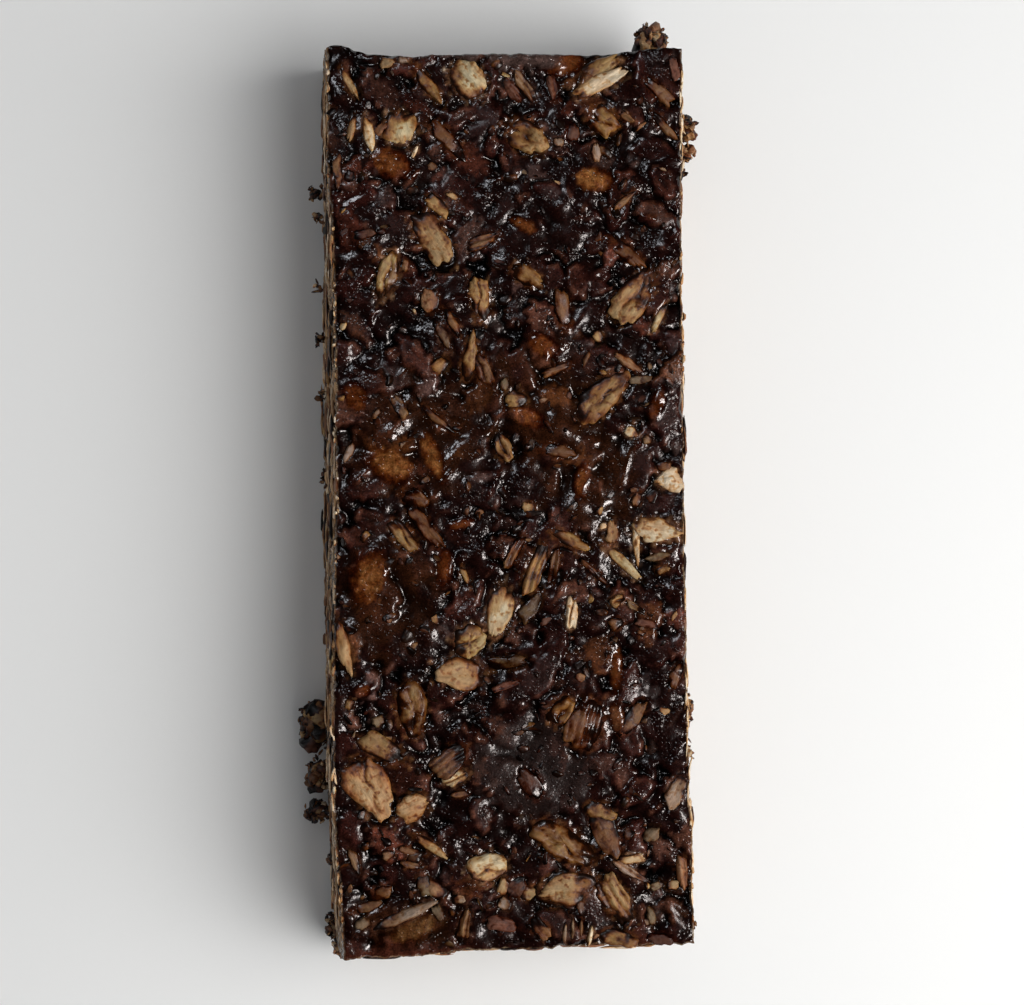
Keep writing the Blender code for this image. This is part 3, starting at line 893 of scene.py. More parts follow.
def place_flake(field, flake, thickness, ragged):
    """Seat a flake on the field, let the binder creep over its rim unevenly, and sink a groove
    beside it that carries a painted shadow.

    Returns the flake's middle height and its slopes along X and Y.
    """
    window, _, reach, lean = round_flake(field, flake)
    below = reach < 0.95
    east, north = field.x[window] - flake.x, field.y[window] - flake.y
    columns = np.stack([np.ones(below.sum()), east[below], north[below]], axis=1)
    fit = np.linalg.lstsq(columns, field.height[window][below], rcond=None)
    level, slope_x, slope_y = fit[0]
    dip = 0.12 * min(flake.syrup / 0.7, 1.0)
    slope_x = float(np.clip(slope_x, -0.12, 0.12)) - dip * math.cos(math.radians(flake.side))
    slope_y = float(np.clip(slope_y, -0.12, 0.12)) - dip * math.sin(math.radians(flake.side))
    sunk = ramp(0.2, 1.4, flake.syrup)
    level += mix(-0.1, -0.22, sunk)
    seat = level + slope_x * east + slope_y * north
    skin = seat + 0.5 * thickness * np.sqrt(np.clip(1.0 - reach**9, 0.0, 1.0))
    skin += dome_height(flake.width) * np.clip(1.0 - reach**2, 0.0, 1.0)
    before = field.height[window]
    creeping = before - 0.22 + 0.5 * lean * min(flake.syrup / 0.7, 1.0) + 0.06 * ragged[window]
    covered = np.maximum(np.minimum(before, skin - 0.25), creeping)
    field.blend("height", covered, ramp(1.08, 0.84, reach), window)
    # A groove on the side away from the syrup, darkened with a painted shadow
    trench_shadow = hump(reach, 1.08, 0.12) * ramp(0.1, 0.9, 0.4 * ragged[window] - lean)
    field.height[window] -= 0.45 * trench_shadow
    field.tint[window] *= (1.0 - 0.6 * trench_shadow)[..., None]
    field.taken[window] = np.maximum(field.taken[window], ramp(1.1, 0.95, reach))
    field.grain[window] *= 1.0 - 0.7 * sunk * ramp(1.6, 1.0, reach)
    field.blend("gloss", 0.95, sunk * ramp(1.5, 1.0, reach), window)
    return level, slope_x, slope_y


def bury_flake(field, flake, tone, ragged):
    """A flake wholly under clear syrup: a smooth low rise that glows amber."""
    window, across, reach, lean = round_flake(field, flake)
    reach = reach + 0.05 * ragged[window]
    level = np.median(field.height[window][reach < 0.9]) + 0.12
    rise = level + 0.16 * (1.0 - reach**2) + 0.05 * ragged[window]
    share = ramp(1.15, 0.7, reach + 0.3 * lean)
    field.blend("height", rise, 0.85 * share, window)
    thickness = 0.9 * flake.syrup - 0.3 + 2.1 * ramp(0.35, 1.1, reach + 0.45 * lean)
    thickness = thickness + 0.25 * ragged[window]
    fibres = np.sin(8.0 * across + 1.5 * ragged[window])
    fibres = 1.0 + 0.14 * fibres * ramp(-0.5, 1.0, ragged[window])
    glow = under_syrup(np.array(tone) * SOAKED, np.clip(thickness, 0.0, None)) * fibres[..., None]
    field.blend("tint", glow, ramp(1.1, 0.9, reach), window)
    field.blend("gloss", 1.0, share, window)
    field.grain[window] *= 1.0 - 0.95 * share
    field.taken[window] = np.maximum(field.taken[window], ramp(1.15, 0.95, reach))


def stain_round(field, flake, tone, ragged):
    """Let a flake glow through the thin binder over its rim."""
    window, _, reach, _ = round_flake(field, flake, margin=0.4)
    glow = under_syrup(np.array(tone), 1.9 + 0.4 * ragged[window])
    field.blend("tint", glow, 0.6 * ramp(1.15, 0.9, reach + 0.1 * ragged[window]), window)


def find_pools(field):
    """How far each sample lies in a pool of syrup, from 0 to 1."""
    pooled = np.zeros(field.shape)
    for pool in SYRUP_POOLS:
        reach = field.oval(*pool) + 0.18 * field.noise(5.0, 6)
        pooled = np.maximum(pooled, ramp(1.25, 0.55, reach))
    return pooled


def smooth_pools(field, crust, pooled):
    """Let the syrup level the relief and shine where it has pooled."""
    field.grain = mix(0.1, 0.75, ramp(-0.5, 1.3, field.noise(6.0, 5))) * (1.0 - 0.85 * pooled)
    field.height = mix(field.smoothed(0.12), field.smoothed(0.55), 0.6 * pooled)
    field.blend("gloss", 1.0, 0.6 * pooled)
    field.blend("tint", np.array(crust.warm) * 0.32, 0.4 * pooled)


def lay_matt_patch(field, crust):
    """Level and dull the paste where bran lies in it."""
    matt = ramp(1.1, 0.85, field.oval(*MATT_PATCH) + 0.1 * field.noise(3.0, 7))
    field.blend("height", field.smoothed(1.3), 0.8 * matt)
    field.blend("tint", np.array(crust.umber) * 0.17, 0.75 * matt)
    field.blend("gloss", 0.28, matt)
    field.blend("grain", 0.15, matt)


def seat_flakes(field, colours):
    """Press the flakes that show into the field; returns each one's seat, None for a buried one."""
    thickness = colours.thickness / MM
    ragged = field.noise(1.5, 19)
    seats = []
    for flake in TOP_FLAKES:
        tone = getattr(colours, flake.tone)
        if flake.syrup >= BURIED:
            bury_flake(field, flake, tone, ragged)
            seats.append(None)
        else:
            seats.append(place_flake(field, flake, thickness, ragged))
            stain_round(field, flake, tone, ragged)
    return seats


def shade_relief(field, crust):
    """Darken the hollows with painted shade, and lighten the ridges partly as thin paste and partly
    as painted light.
    """
    ridge = np.clip((field.height - field.smoothed(0.7)) / 0.2, -1.0, 1.0)
    painted_hollow_shade = np.clip((field.smoothed(2.4) - field.height) / 0.4, 0.0, 1.0)
    # Painted shade in the hollows and painted light on the ridges
    field.tint = field.tint * ((1.0 + 0.55 * ridge) * (1.0 - 0.7 * painted_hollow_shade))[..., None]
    thin = ramp(0.35, 1.0, ridge) * ramp(-0.2, 1.0, field.noise(3.0, 12))
    field.blend("tint", np.array(crust.mid) * 1.3, 0.5 * thin)


def make_top_field(settings):
    """Everything the top face is: its relief, colour, gloss and crumb, and where flakes sit."""
    sizes, crust = settings.granola_sizes, settings.granola_crust
    dice = np.random.default_rng(4)
    field = Field(FIELD_LOW, FIELD_HIGH, TOP_STEP)
    field.height += crust.swell / MM * field.noise(14.0, 1) + crust.lump / MM * field.noise(4.5, 2)
    field.tint[:] = np.array(crust.dark) * 0.55
    field.gloss[:] = 0.5
    pooled = find_pools(field)
    ground = lay_coated_flakes(field, dice, sizes, crust, pooled)
    field.height = np.maximum(field.height, ground - 0.4 + 0.07 * field.noise(3.4, 3))
    dig_and_shade_crevices(field)
    raise_crests(field, dice, sizes, crust)
    smooth_pools(field, crust, pooled)
    lay_matt_patch(field, crust)

    seats = seat_flakes(field, settings.granola_flakes)
    field.blend("height", field.smoothed(0.12), 0.8)
    crumb = field.noise(0.9, 8) + 0.8 * field.noise(1.6, 9)
    field.height += crust.granule / MM * field.grain**2 * crumb
    shade_relief(field, crust)
    lay_end_tones(field, crust)
    lay_film(field, settings)
    return field, seats


def lay_end_tones(field, crust):
    """Red-brown syrup along the left of the front rim, and dry crumb on the back left corner."""
    front = ramp(-55.0, -57.2, field.y + 0.5 * field.noise(3.0, 71)) * ramp(-2.0, -7.0, field.x)
    field.blend("tint", np.array(crust.russet) * 0.6, 0.6 * front)
    field.blend("gloss", 0.8, front)
    corner = ramp(1.0, 0.5, field.oval(*CRUMBLY_CORNER) + 0.15 * field.noise(1.2, 72))
    field.blend("tint", np.array(crust.mid) * 0.75, 0.8 * corner)
    field.gloss *= 1.0 - corner
    field.grain = np.maximum(field.grain, corner)


def lay_film(field, settings):
    """The smooth lip of syrup along the tray-wall end."""
    back = (settings.granola_sizes.back - settings.granola_sizes.lean_back) / MM
    along = ramp(-14.0, -11.0, field.x) * ramp(8.0, 5.5, field.x)
    width = mix(0.35, 2.0, ramp(-3.0, -1.0, field.x)) + 0.35 * field.noise(2.6, 14)
    near = ramp(back - width, back - width + 0.4, field.y) * along
    lip = 0.45 + 0.5 * hump(field.y, back - 0.5, 0.5)
    field.blend("height", lip + 0.1 * field.noise(5.0, 15), near)
    shade = 0.75 + 0.3 * ramp(-1, 1, field.noise(3.0, 16))
    field.blend("tint", np.array(settings.granola_crust.film) * shade[..., None], near)
    field.blend("gloss", 0.75, near)
    field.grain *= 1.0 - near


# ---------------- the bar's own shape

# Where the rims of the long cuts and the foot of the left one run: along and across, in mm
LEFT_RIM = (
    (-57.0, -22.0), (-50.0, -22.3), (-44.0, -22.7), (-38.0, -23.0), (-32.0, -23.0), (-25.0, -22.8),
    (-19.0, -22.8), (-13.0, -22.6), (-6.0, -22.3), (0.0, -22.1), (12.0, -22.0), (25.0, -21.95),
    (34.0, -22.1), (38.0, -22.4), (44.0, -22.6), (56.0, -22.4),
)
LEFT_FOOT = (
    (-60.0, -22.9), (-54.0, -23.0), (-47.0, -23.2), (-34.0, -23.6), (-20.0, -23.5), (-14.0, -23.5),
    (-6.0, -23.6), (0.0, -23.4), (13.0, -23.2), (27.0, -23.2), (40.0, -22.8), (59.0, -22.7),
)
RIGHT_RIM = (
    (-56.0, 22.4), (-50.0, 22.2), (-44.0, 22.3), (-38.0, 22.1), (-32.0, 21.9), (-13.0, 21.9),
    (-6.0, 21.8), (0.0, 21.9), (25.0, 21.95), (38.0, 22.15), (44.0, 22.3), (56.0, 22.45),
)


def line_at(line, along):
    """Where a rim or foot line runs at places along the bar."""
    return np.interp(along, *zip(*line))


def edge_lines(sizes, across, along):
    """How far the four edges of the top face stand out of straight, in mm.

    across and along are places on the face; returns shifts for left, right, front and back.
    """
    dice = np.random.default_rng(21)
    shifts = []
    for place in (along, along, across, across):
        line = np.zeros_like(place)
        for span, size in ((17.0, 0.08), (6.0, 0.06), (2.3, 0.05), (1.1, 0.03)):
            line += size * np.sin(2 * math.pi * place / span + any_angle(dice))
            line += size * np.sin(2 * math.pi * place / (span * 0.71) + any_angle(dice))
        shifts.append(line)
    left, right, front, back = shifts
    left = 0.6 * left + (sizes.left + sizes.lean_left) / MM - line_at(LEFT_RIM, along)
    right = 0.4 * right + line_at(RIGHT_RIM, along) - (sizes.right - sizes.lean_right) / MM
    back = 0.3 * back + 1.35 * hump(across, -20.8, 2.4) + 0.8 * ramp(9.0, 21.0, across)
    back -= 0.35 * hump(across, -12.0, 2.0)
    front = front + 0.75 * ramp(2.0, -20.0, across)
    return left, right, front, back


def perimeter_cells(cells_x, cells_y):
    """Grid numbers round the edge of a face, starting at its front left corner."""
    wide = cells_x + 1
    front = np.arange(cells_x)
    right = np.arange(cells_y) * wide + cells_x
    back = cells_y * wide + np.arange(cells_x, 0, -1)
    left = np.arange(cells_y, 0, -1) * wide
    return np.concatenate([front, right, back, left])


def grid_faces(cells_x, cells_y):
    """Corner numbers of every cell of a grid, wound to face up."""
    wide = cells_x + 1
    first = (np.arange(cells_y)[:, None] * wide + np.arange(cells_x)[None, :]).ravel()
    return np.stack([first, first + 1, first + 1 + wide, first + wide], axis=1)


# Rows of cells down the sides of the crust and of the core
CRUST_ROWS = 7
CORE_ROWS = 42

# Paste colours, dark then light: at the tray-wall end, laid dark in its hollows and light on its
# swells as painted shade and painted light; under the base, mixed at random; and smeared between
# layers
WALL_SHADE_TONES = [np.array(linear(code)) for code in ("#24140e", "#4b3020")]
BASE_TONES = [np.array(linear(code)) for code in ("#21120c", "#4a2c1b")]
SMEARED_PASTE = 0.6 * np.array(linear("#4a2b1b"))

# How much of the layered look the knife cuts show, against plain crumb
CUT_SHARE = 0.55

# How far along its shelf of the core's map the tray-wall end starts, in mm
BACK_SHIFT = 60.0


class BarShape:
    """The bar's surface: the top grid and the rings of points that go down its sides."""

    def __init__(self, settings, field):
        sizes, crust = settings.granola_sizes, settings.granola_crust
        self.sizes, self.field = sizes, field
        cell = crust.cell / MM
        self.left, self.right = sizes.left / MM, sizes.right / MM
        self.front, self.back = sizes.front / MM, sizes.back / MM
        self.height = sizes.height / MM
        self.cells_x = 2 * int(round((self.right - self.left) / cell / 2))
        self.cells_y = 4 * int(round((self.back - self.front) / cell / 4))
        self.edge = perimeter_cells(self.cells_x, self.cells_y)
        self.make_top()
        self.make_rings(settings.granola_sides.ledge / MM)

    def make_top(self):
        """Spread the grid over the top face and lift it to the field's relief."""
        u = np.linspace(0.0, 1.0, self.cells_x + 1)[None, :]
        v = np.linspace(0.0, 1.0, self.cells_y + 1)[:, None]
        sizes = self.sizes
        across = mix(self.left + sizes.lean_left / MM, self.right - sizes.lean_right / MM, u)
        along = mix(self.front + sizes.lean_front / MM, self.back - sizes.lean_back / MM, v)
        across, along = np.broadcast_arrays(across, along)
        left, right, front, back = edge_lines(sizes, across, along)
        x = across - left * ramp(0.12, 0.0, u) + right * ramp(0.88, 1.0, u)
        y = along - front * ramp(0.05, 0.0, v) + back * ramp(0.95, 1.0, v)
        z = self.height + self.field.read(self.field.height, x, y)
        # Roughly how far in from the nearest edge, in mm
        inner = np.minimum(np.minimum(u, 1 - u) * 46.0, np.minimum(v, 1 - v) * 115.0)
        crumble = 0.12 + 0.22 * self.field.read(self.field.noise(2.4, 31), x, y)
        z = z - np.clip(crumble, 0.0, 0.7) * ramp(0.6, 0.0, inner)
        self.top = np.stack([x, y, z], axis=-1).reshape(-1, 3)

    def outward(self):
        """The level direction out of the bar at each edge point, rounded at the corners."""
        x_cells, y_cells = self.cells_x, self.cells_y
        out = np.zeros((len(self.edge), 2))
        out[:x_cells, 1] = -1
        out[x_cells:x_cells + y_cells, 0] = 1
        out[x_cells + y_cells:2 * x_cells + y_cells, 1] = 1
        out[2 * x_cells + y_cells:, 0] = -1
        spread = 5
        smooth = sum(np.roll(out, shift, axis=0) for shift in range(-spread, spread + 1))
        return smooth / np.linalg.norm(smooth, axis=1)[:, None]

    def to_corner(self, column):
        """How far an edge point is from the nearest upright corner of the bar, in mm."""
        x_cells, y_cells = self.cells_x, self.cells_y
        corners = np.array([0, x_cells, x_cells + y_cells, 2 * x_cells + y_cells, len(self.edge)])
        return np.abs(corners - column % len(self.edge)).min() * (self.right - self.left) / x_cells

    def make_rings(self, ledge):
        """Drop rings of points from the top edge to the base, moved in and out by the layers."""
        rim = self.top[self.edge]
        out = self.outward()
        base = rim[:, :2] + out * self.lean(rim)[:, None]
        seam = self.height - self.sizes.seam_depth / MM
        levels = np.concatenate([
            mix(rim[:, 2][None, :], seam, np.linspace(0, 1, CRUST_ROWS + 1)[:, None]),
            np.repeat(seam * np.linspace(1, 0, CORE_ROWS + 1)[1:, None], len(rim), axis=1),
        ])
        shape = (len(levels), len(rim))
        step = (self.right - self.left) / self.cells_x
        row = self.height / len(levels)
        relief = 0.9 * span_noise(shape, 1.5 / row, 5.5 / step, 41)
        relief += 0.5 * span_noise(shape, 0.95 / row, 2.4 / step, 42)
        relief += 0.25 * span_noise(shape, 0.9 / row, 0.9 / step, 43)
        relief = 1.6 * np.tanh(relief / 1.6)
        skin = 0.5 * span_noise(shape, 6.0 / row, 6.0 / step, 44)
        wall = ramp(0.6, 0.95, out[:, 1])[None, :]
        self.wall = wall[0]
        relief = ledge * mix(relief, skin, wall)
        drop = np.clip((rim[:, 2][None, :] - levels) / self.height, 0, 1)
        relief *= ramp(0.0, 0.12, drop) * ramp(0.0, 0.8, levels)
        flat = mix(rim[None, :, :2], base[None], drop[..., None]) + out[None] * relief[..., None]
        self.out = out
        self.rings = np.concatenate([flat, levels[..., None]], axis=-1)
        self.relief = relief / ledge
        smears = span_noise(shape, 3.4 / row, 9.0 / step, 45) + 0.25 * self.relief
        self.paste = ramp(0.35, 1.15, smears)

    def lean(self, rim):
        """How far each edge point's side leans out on its way down to the base."""
        out = self.outward()
        sizes = self.sizes
        lean_left = rim[:, 0] - line_at(LEFT_FOOT, rim[:, 1])
        lean = np.where(out[:, 0] < 0, lean_left, sizes.lean_right / MM) * out[:, 0]**2
        lean += np.where(out[:, 1] < 0, sizes.lean_front, sizes.lean_back) / MM * out[:, 1]**2
        return lean


def ring_faces(upper, lower):
    """Cells between two rings of point numbers, facing outwards."""
    return np.stack([upper, lower, np.roll(lower, -1), np.roll(upper, -1)], axis=1)


def side_values(shape, sides, rows):
    """Colour, gloss, crumb and cut share for some rows of the sides."""
    relief = shape.relief[rows]
    cut = 1.0 - shape.wall[None, :] * np.ones((len(relief), 1))
    # The tray-wall end is painted darker in its hollows and lighter on its swells: painted shade
    # and painted light
    wall_with_painted_shade = mix(*WALL_SHADE_TONES, ramp(-1.2, 1.6, relief)[..., None])
    # At the cuts the recessed layers take the dark paste colour and the standing ones the pale
    # flesh: partly paste between the layers, partly painted shade in the recesses
    cut_layers_and_shade = mix(np.array(sides.gap), np.array(sides.flesh), ramp(-0.6, 1.4, relief)[..., None])
    paste = shape.paste[rows] * cut
    cut_layers_and_shade = mix(cut_layers_and_shade, SMEARED_PASTE, (0.85 * paste)[..., None])
    tint = mix(wall_with_painted_shade, cut_layers_and_shade, cut[..., None])
    gloss = mix(0.55, 0.12, cut) + 0.4 * paste
    grain = mix(0.1, 0.8, cut)
    return {"tint": tint.reshape(-1, 3), "gloss": gloss.ravel(), "grain": grain.ravel(),
            "cut": (cut * CUT_SHARE * (1.0 - 0.85 * paste)).ravel()}


def join_values(*parts):
    """Stack the named layers of several sets of points."""
    return {name: np.concatenate([part[name] for part in parts]) for name in parts[0]}


class SharedShape:
    """The top field, the flakes' seats and the bar's shape, made once for all the operators."""

    cache = {}

    @classmethod
    def get(cls, scene):
        if "field" not in cls.cache:
            field, seats = make_top_field(scene)
            cls.cache.update(field=field, seats=seats, shape=BarShape(scene, field))
        return cls.cache["field"], cls.cache["seats"], cls.cache["shape"]


def lid_map(count, middle, radius, way):
    """Map places of a hidden lid: once round a small circle, one way or the other."""
    turn = np.linspace(0, 2 * math.pi, count, endpoint=False)
    circle = np.stack([middle + radius * np.cos(turn), middle + way * radius * np.sin(turn)], -1)
    return circle[None]


def build_crust(scene, material):
    """The top 2.4 mm of the bar: a closed slab with the sticky top face."""
    field, _, shape = SharedShape.get(scene)
    top_count = len(shape.top)
    edge_count = len(shape.edge)
    rings = shape.rings[1:CRUST_ROWS + 1]
    points = np.concatenate([shape.top, rings.reshape(-1, 3)])
    numbers = [shape.edge] + [
        top_count + row * edge_count + np.arange(edge_count) for row in range(len(rings))]
    cells = grid_faces(shape.cells_x, shape.cells_y)
    sides = np.concatenate([ring_faces(a, b) for a, b in zip(numbers, numbers[1:])])
    lid = numbers[-1][::-1][None, :]

    x, y = shape.top[:, 0], shape.top[:, 1]
    top_values = {
        "tint": field.read(field.tint, x, y), "gloss": field.read(field.gloss, x, y),
        "grain": field.read(field.grain, x, y), "cut": np.zeros(top_count)}
    top_values["cut"][shape.edge] = 0.45 * (1.0 - shape.wall)
    side_rows = side_values(shape, scene.granola_sides, slice(1, CRUST_ROWS + 1))
    values = join_values(top_values, side_rows)

    # The map lays the front and back halves side by side, with the sides folded flat outwards
    ring_numbers = np.repeat(np.arange(1, len(rings) + 1), edge_count)
    depth = np.concatenate([np.zeros(top_count), ring_numbers])
    depth = depth * (shape.sizes.seam_depth / MM) / CRUST_ROWS
    out = np.zeros((len(points), 2))
    out[top_count:] = np.tile(shape.out, (len(rings), 1))
    plan = np.concatenate([shape.top[:, :2], np.tile(shape.top[shape.edge, :2], (len(rings), 1))])
    plan = plan + out * depth[:, None]
    middle = (shape.front + shape.back) / 2
    margin = 3.5  # mm, room for the folded sides
    half_width = (shape.right - shape.left) / 2 + margin
    half_length = (shape.back - shape.front) / 2 + margin
    scale = 1.0 / (4 * half_width)

    def place(faces, back_half):
        spot = plan[faces]
        shift_x = np.where(back_half, 3 * half_width, half_width)[:, None]
        shift_y = np.where(back_half, 0.0, half_length)[:, None] - middle
        return np.stack([(spot[..., 0] + shift_x) * scale,
                         (spot[..., 1] + shift_y) * scale + 0.01], axis=-1)

    cell_back = np.repeat(np.arange(shape.cells_y) >= shape.cells_y // 2, shape.cells_x)
    edge_row = shape.edge // (shape.cells_x + 1)
    side_back = np.tile((edge_row + np.roll(edge_row, -1)) / 2 > shape.cells_y / 2, len(rings))
    places = [place(cells, cell_back), place(sides, side_back), lid_map(edge_count, 0.9, 0.05, -1)]
    return make_piece("sticky_crust", points, [cells, sides, lid], places, values, material)


def base_faces(shape, edge_numbers, first_inner):
    """Cells of the underside, twice as wide as the sides' columns, wound to face down.

    Outer cells take in the edge point between their corners, so that the mesh stays closed.
    """
    nx, ny = shape.cells_x // 2, shape.cells_y // 2
    grid = np.full((ny + 1, nx + 1), -1)
    grid[1:-1, 1:-1] = first_inner + np.arange((ny - 1) * (nx - 1)).reshape(ny - 1, nx - 1)
    right, back, left = 2 * nx, 2 * nx + 2 * ny, 4 * nx + 2 * ny
    grid[0, :] = edge_numbers[0:right + 1:2]
    grid[:, nx] = edge_numbers[right:back + 1:2]
    grid[ny, ::-1] = edge_numbers[back:left + 1:2]
    grid[::-1, 0] = np.append(edge_numbers[left::2], edge_numbers[0])
    between = {}
    loop = list(edge_numbers)
    for index in range(1, len(loop), 2):
        between[frozenset((loop[index - 1], loop[(index + 1) % len(loop)]))] = loop[index]
    blocks = {}
    for row in range(ny):
        for column in range(nx):
            corners = [grid[row, column], grid[row + 1, column],
                       grid[row + 1, column + 1], grid[row, column + 1]]
            if row in (0, ny - 1) or column in (0, nx - 1):
                full = []
                for corner, following in zip(corners, corners[1:] + corners[:1]):
                    full.append(corner)
                    if frozenset((corner, following)) in between:
                        full.append(between[frozenset((corner, following))])
                corners = full
            blocks.setdefault(len(corners), []).append(corners)
    return [np.array(rows) for rows in blocks.values()]


def base_points(shape, base_ring, under):
    """The points of the underside inside its edge, with the small dents between pressed oats."""
    nx, ny = shape.cells_x // 2, shape.cells_y // 2
    u = np.linspace(0, 1, nx + 1)[None, 1:-1]
    v = np.linspace(0, 1, ny + 1)[1:-1, None]
    left = np.append(base_ring[2 * (2 * nx + ny)::2], base_ring[:1], axis=0)[::-1][1:-1]
    right = base_ring[2 * nx:2 * nx + 2 * ny + 1:2][1:-1]
    front = base_ring[0:2 * nx + 1:2][1:-1]
    back = base_ring[2 * nx + 2 * ny:4 * nx + 2 * ny + 1:2][::-1][1:-1]
    x = mix(left[:, 0][:, None], right[:, 0][:, None], u)
    y = mix(front[:, 1][None, :], back[:, 1][None, :], v)
    dent = 0.16 + 0.1 * under.noise(3.2, 51) + 0.06 * under.noise(1.3, 52)
    inset = ramp(0.0, 1.5, np.minimum(np.minimum(x - x.min(), x.max() - x),
                                      np.minimum(y - y.min(), y.max() - y)))
    z = np.clip(under.read(dent, x, y), 0.0, 0.6) * inset
    return np.stack([x, y, z], axis=-1).reshape(-1, 3)


def side_map(shape, rings, sides, scale):
    """Map places of the sides: the two long ones on shelves 0 and 1, and both ends on shelf 2."""
    edge_count, x_cells, y_cells = len(shape.edge), shape.cells_x, shape.cells_y
    step = (shape.right - shape.left) / x_cells
    column = np.tile(np.arange(edge_count), len(rings) - 1)
    strips = ((0, x_cells, 2, 0.0), (x_cells, x_cells + y_cells, 0, 0.0),
              (x_cells + y_cells, 2 * x_cells + y_cells, 2, BACK_SHIFT),
              (2 * x_cells + y_cells, edge_count, 1, 0.0))
    places = np.zeros((len(sides), 4, 2))
    for start, stop, shelf, shift in strips:
        chosen = (column >= start) & (column < stop)
        index = sides[chosen] % edge_count - start
        index = np.where(index < 0, index + edge_count, index)
        level = rings[sides[chosen] // edge_count, 0, 2]
        places[chosen, :, 0] = (index * step + shift + 1) * scale
        places[chosen, :, 1] = (level + shelf * (shape.height + 1) + 1) * scale
    return places


def build_core(scene, material):
    """The bar below the crust: its four sides and its underside."""
    _, _, shape = SharedShape.get(scene)
    rings = shape.rings[CRUST_ROWS:]
    edge_count = len(shape.edge)
    numbers = [row * edge_count + np.arange(edge_count) for row in range(len(rings))]
    sides = np.concatenate([ring_faces(a, b) for a, b in zip(numbers, numbers[1:])])
    lid = numbers[0][None, :]
    under = Field(FIELD_LOW, FIELD_HIGH, BASE_STEP)
    inner = base_points(shape, rings[-1], under)
    points = np.concatenate([rings.reshape(-1, 3), inner])
    base = base_faces(shape, numbers[-1], len(rings) * edge_count)

    mottle = under.read(under.noise(2.6, 53), inner[:, 0], inner[:, 1])
    base_values = {
        "tint": mix(*BASE_TONES, ramp(-0.8, 1.8, mottle)[:, None]),
        "gloss": np.full(len(inner), 0.45), "grain": np.full(len(inner), 0.35),
        "cut": np.zeros(len(inner))}
    side_rows = side_values(shape, scene.granola_sides, slice(CRUST_ROWS, None))
    values = join_values(side_rows, base_values)
    values["cut"] *= np.concatenate([
        np.repeat(ramp(0.0, 0.6, rings[:, 0, 2] + 0.2), edge_count), np.ones(len(inner))])

    # The underside lies on its side over the three shelves of the map
    scale = 1.0 / (shape.back - shape.front + 4)
    base_low = np.array([shape.front - 2, shape.left - 2 - 3 * (shape.height + 1)])
    base_places = [(points[block][..., 1::-1] - base_low) * scale for block in base]
    places = [side_map(shape, rings, sides, scale), lid_map(edge_count, 0.95, 0.02, 1)]
    piece = make_piece("cut_core", points, [sides, lid, *base], places + base_places, values,
                       material)
    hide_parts(NODE)
    return piece


# ---------------- flakes

class FlakePattern:
    """How the points of every flake of one kind are joined: rings round a middle, both sides."""

    def __init__(self, spokes, rings, under_rings):
        self.spokes, self.rings, self.under_rings = spokes, rings, under_rings
        self.turn = np.linspace(0, 2 * math.pi, spokes, endpoint=False)
        self.top_reach = np.sin(np.linspace(0, math.pi / 2, rings + 1)[1:])
        self.under_reach = np.sin(np.linspace(0, math.pi / 2, under_rings + 2)[1:-1])[::-1]
        reach = np.concatenate([self.top_reach, self.under_reach])
        self.reach = np.concatenate([[0.0], np.repeat(reach, spokes), [0.0]])
        turn = np.tile(self.turn, len(reach))
        self.angle = np.concatenate([[0.0], turn, [0.0]])
        self.under = np.arange(len(self.reach)) > rings * spokes
        last = len(self.reach) - 1
        ring_rows = [1 + row * spokes + np.arange(spokes) for row in range(len(reach))]
        self.quads = np.concatenate([ring_faces(a, b) for a, b in zip(ring_rows, ring_rows[1:])])
        first, final = ring_rows[0], ring_rows[-1]
        self.fans = np.concatenate([
            np.stack([np.zeros(spokes, int), first, np.roll(first, -1)], axis=1),
            np.stack([np.full(spokes, last), np.roll(final, -1), final], axis=1)])


def flake_outline(pattern, dice, length, width, form):
    """Places along and across a flake for each point of the pattern."""
    wobble = np.ones_like(pattern.angle)
    rough = 0.3 if form == "chip" else 0.2
    for lobes in (2, 3, 4, 6, 9, 13):
        size = dice.uniform(0.2, 1.0) * rough / lobes**0.6
        wobble += size * np.cos(lobes * pattern.angle + any_angle(dice))
    cosine, sine = np.cos(pattern.angle), np.sin(pattern.angle)
    blunt = {"sliver": 0.78, "pointed": 0.95, "chip": 0.8}.get(form, 0.84)
    along = pattern.reach * wobble * np.sign(cosine) * np.abs(cosine) ** blunt
    across = pattern.reach * wobble * np.sign(sine) * np.abs(sine) ** blunt
    nearest, furthest = (0.5, 0.8) if form == "chip" else (0.76, 0.95)
    for _ in range(dice.integers(1, 4) if form == "chip" else dice.integers(0, 3)):
        chip = dice.uniform(0, 2 * math.pi)
        over = toward(along, across, chip) - dice.uniform(nearest, furthest)
        over = 0.85 * np.clip(over, 0, None)
        along, across = along - over * math.cos(chip), across - over * math.sin(chip)
    taper = 1.0 - dice.uniform(0.05, 0.22) * along
    if form == "pointed":
        taper *= 1.0 - 0.62 * ramp(-0.1, 1.15, along)
    if form == "sliver":
        taper *= 1.0 - 0.35 * along**2
    return along * length / 2, across * taper * width / 2


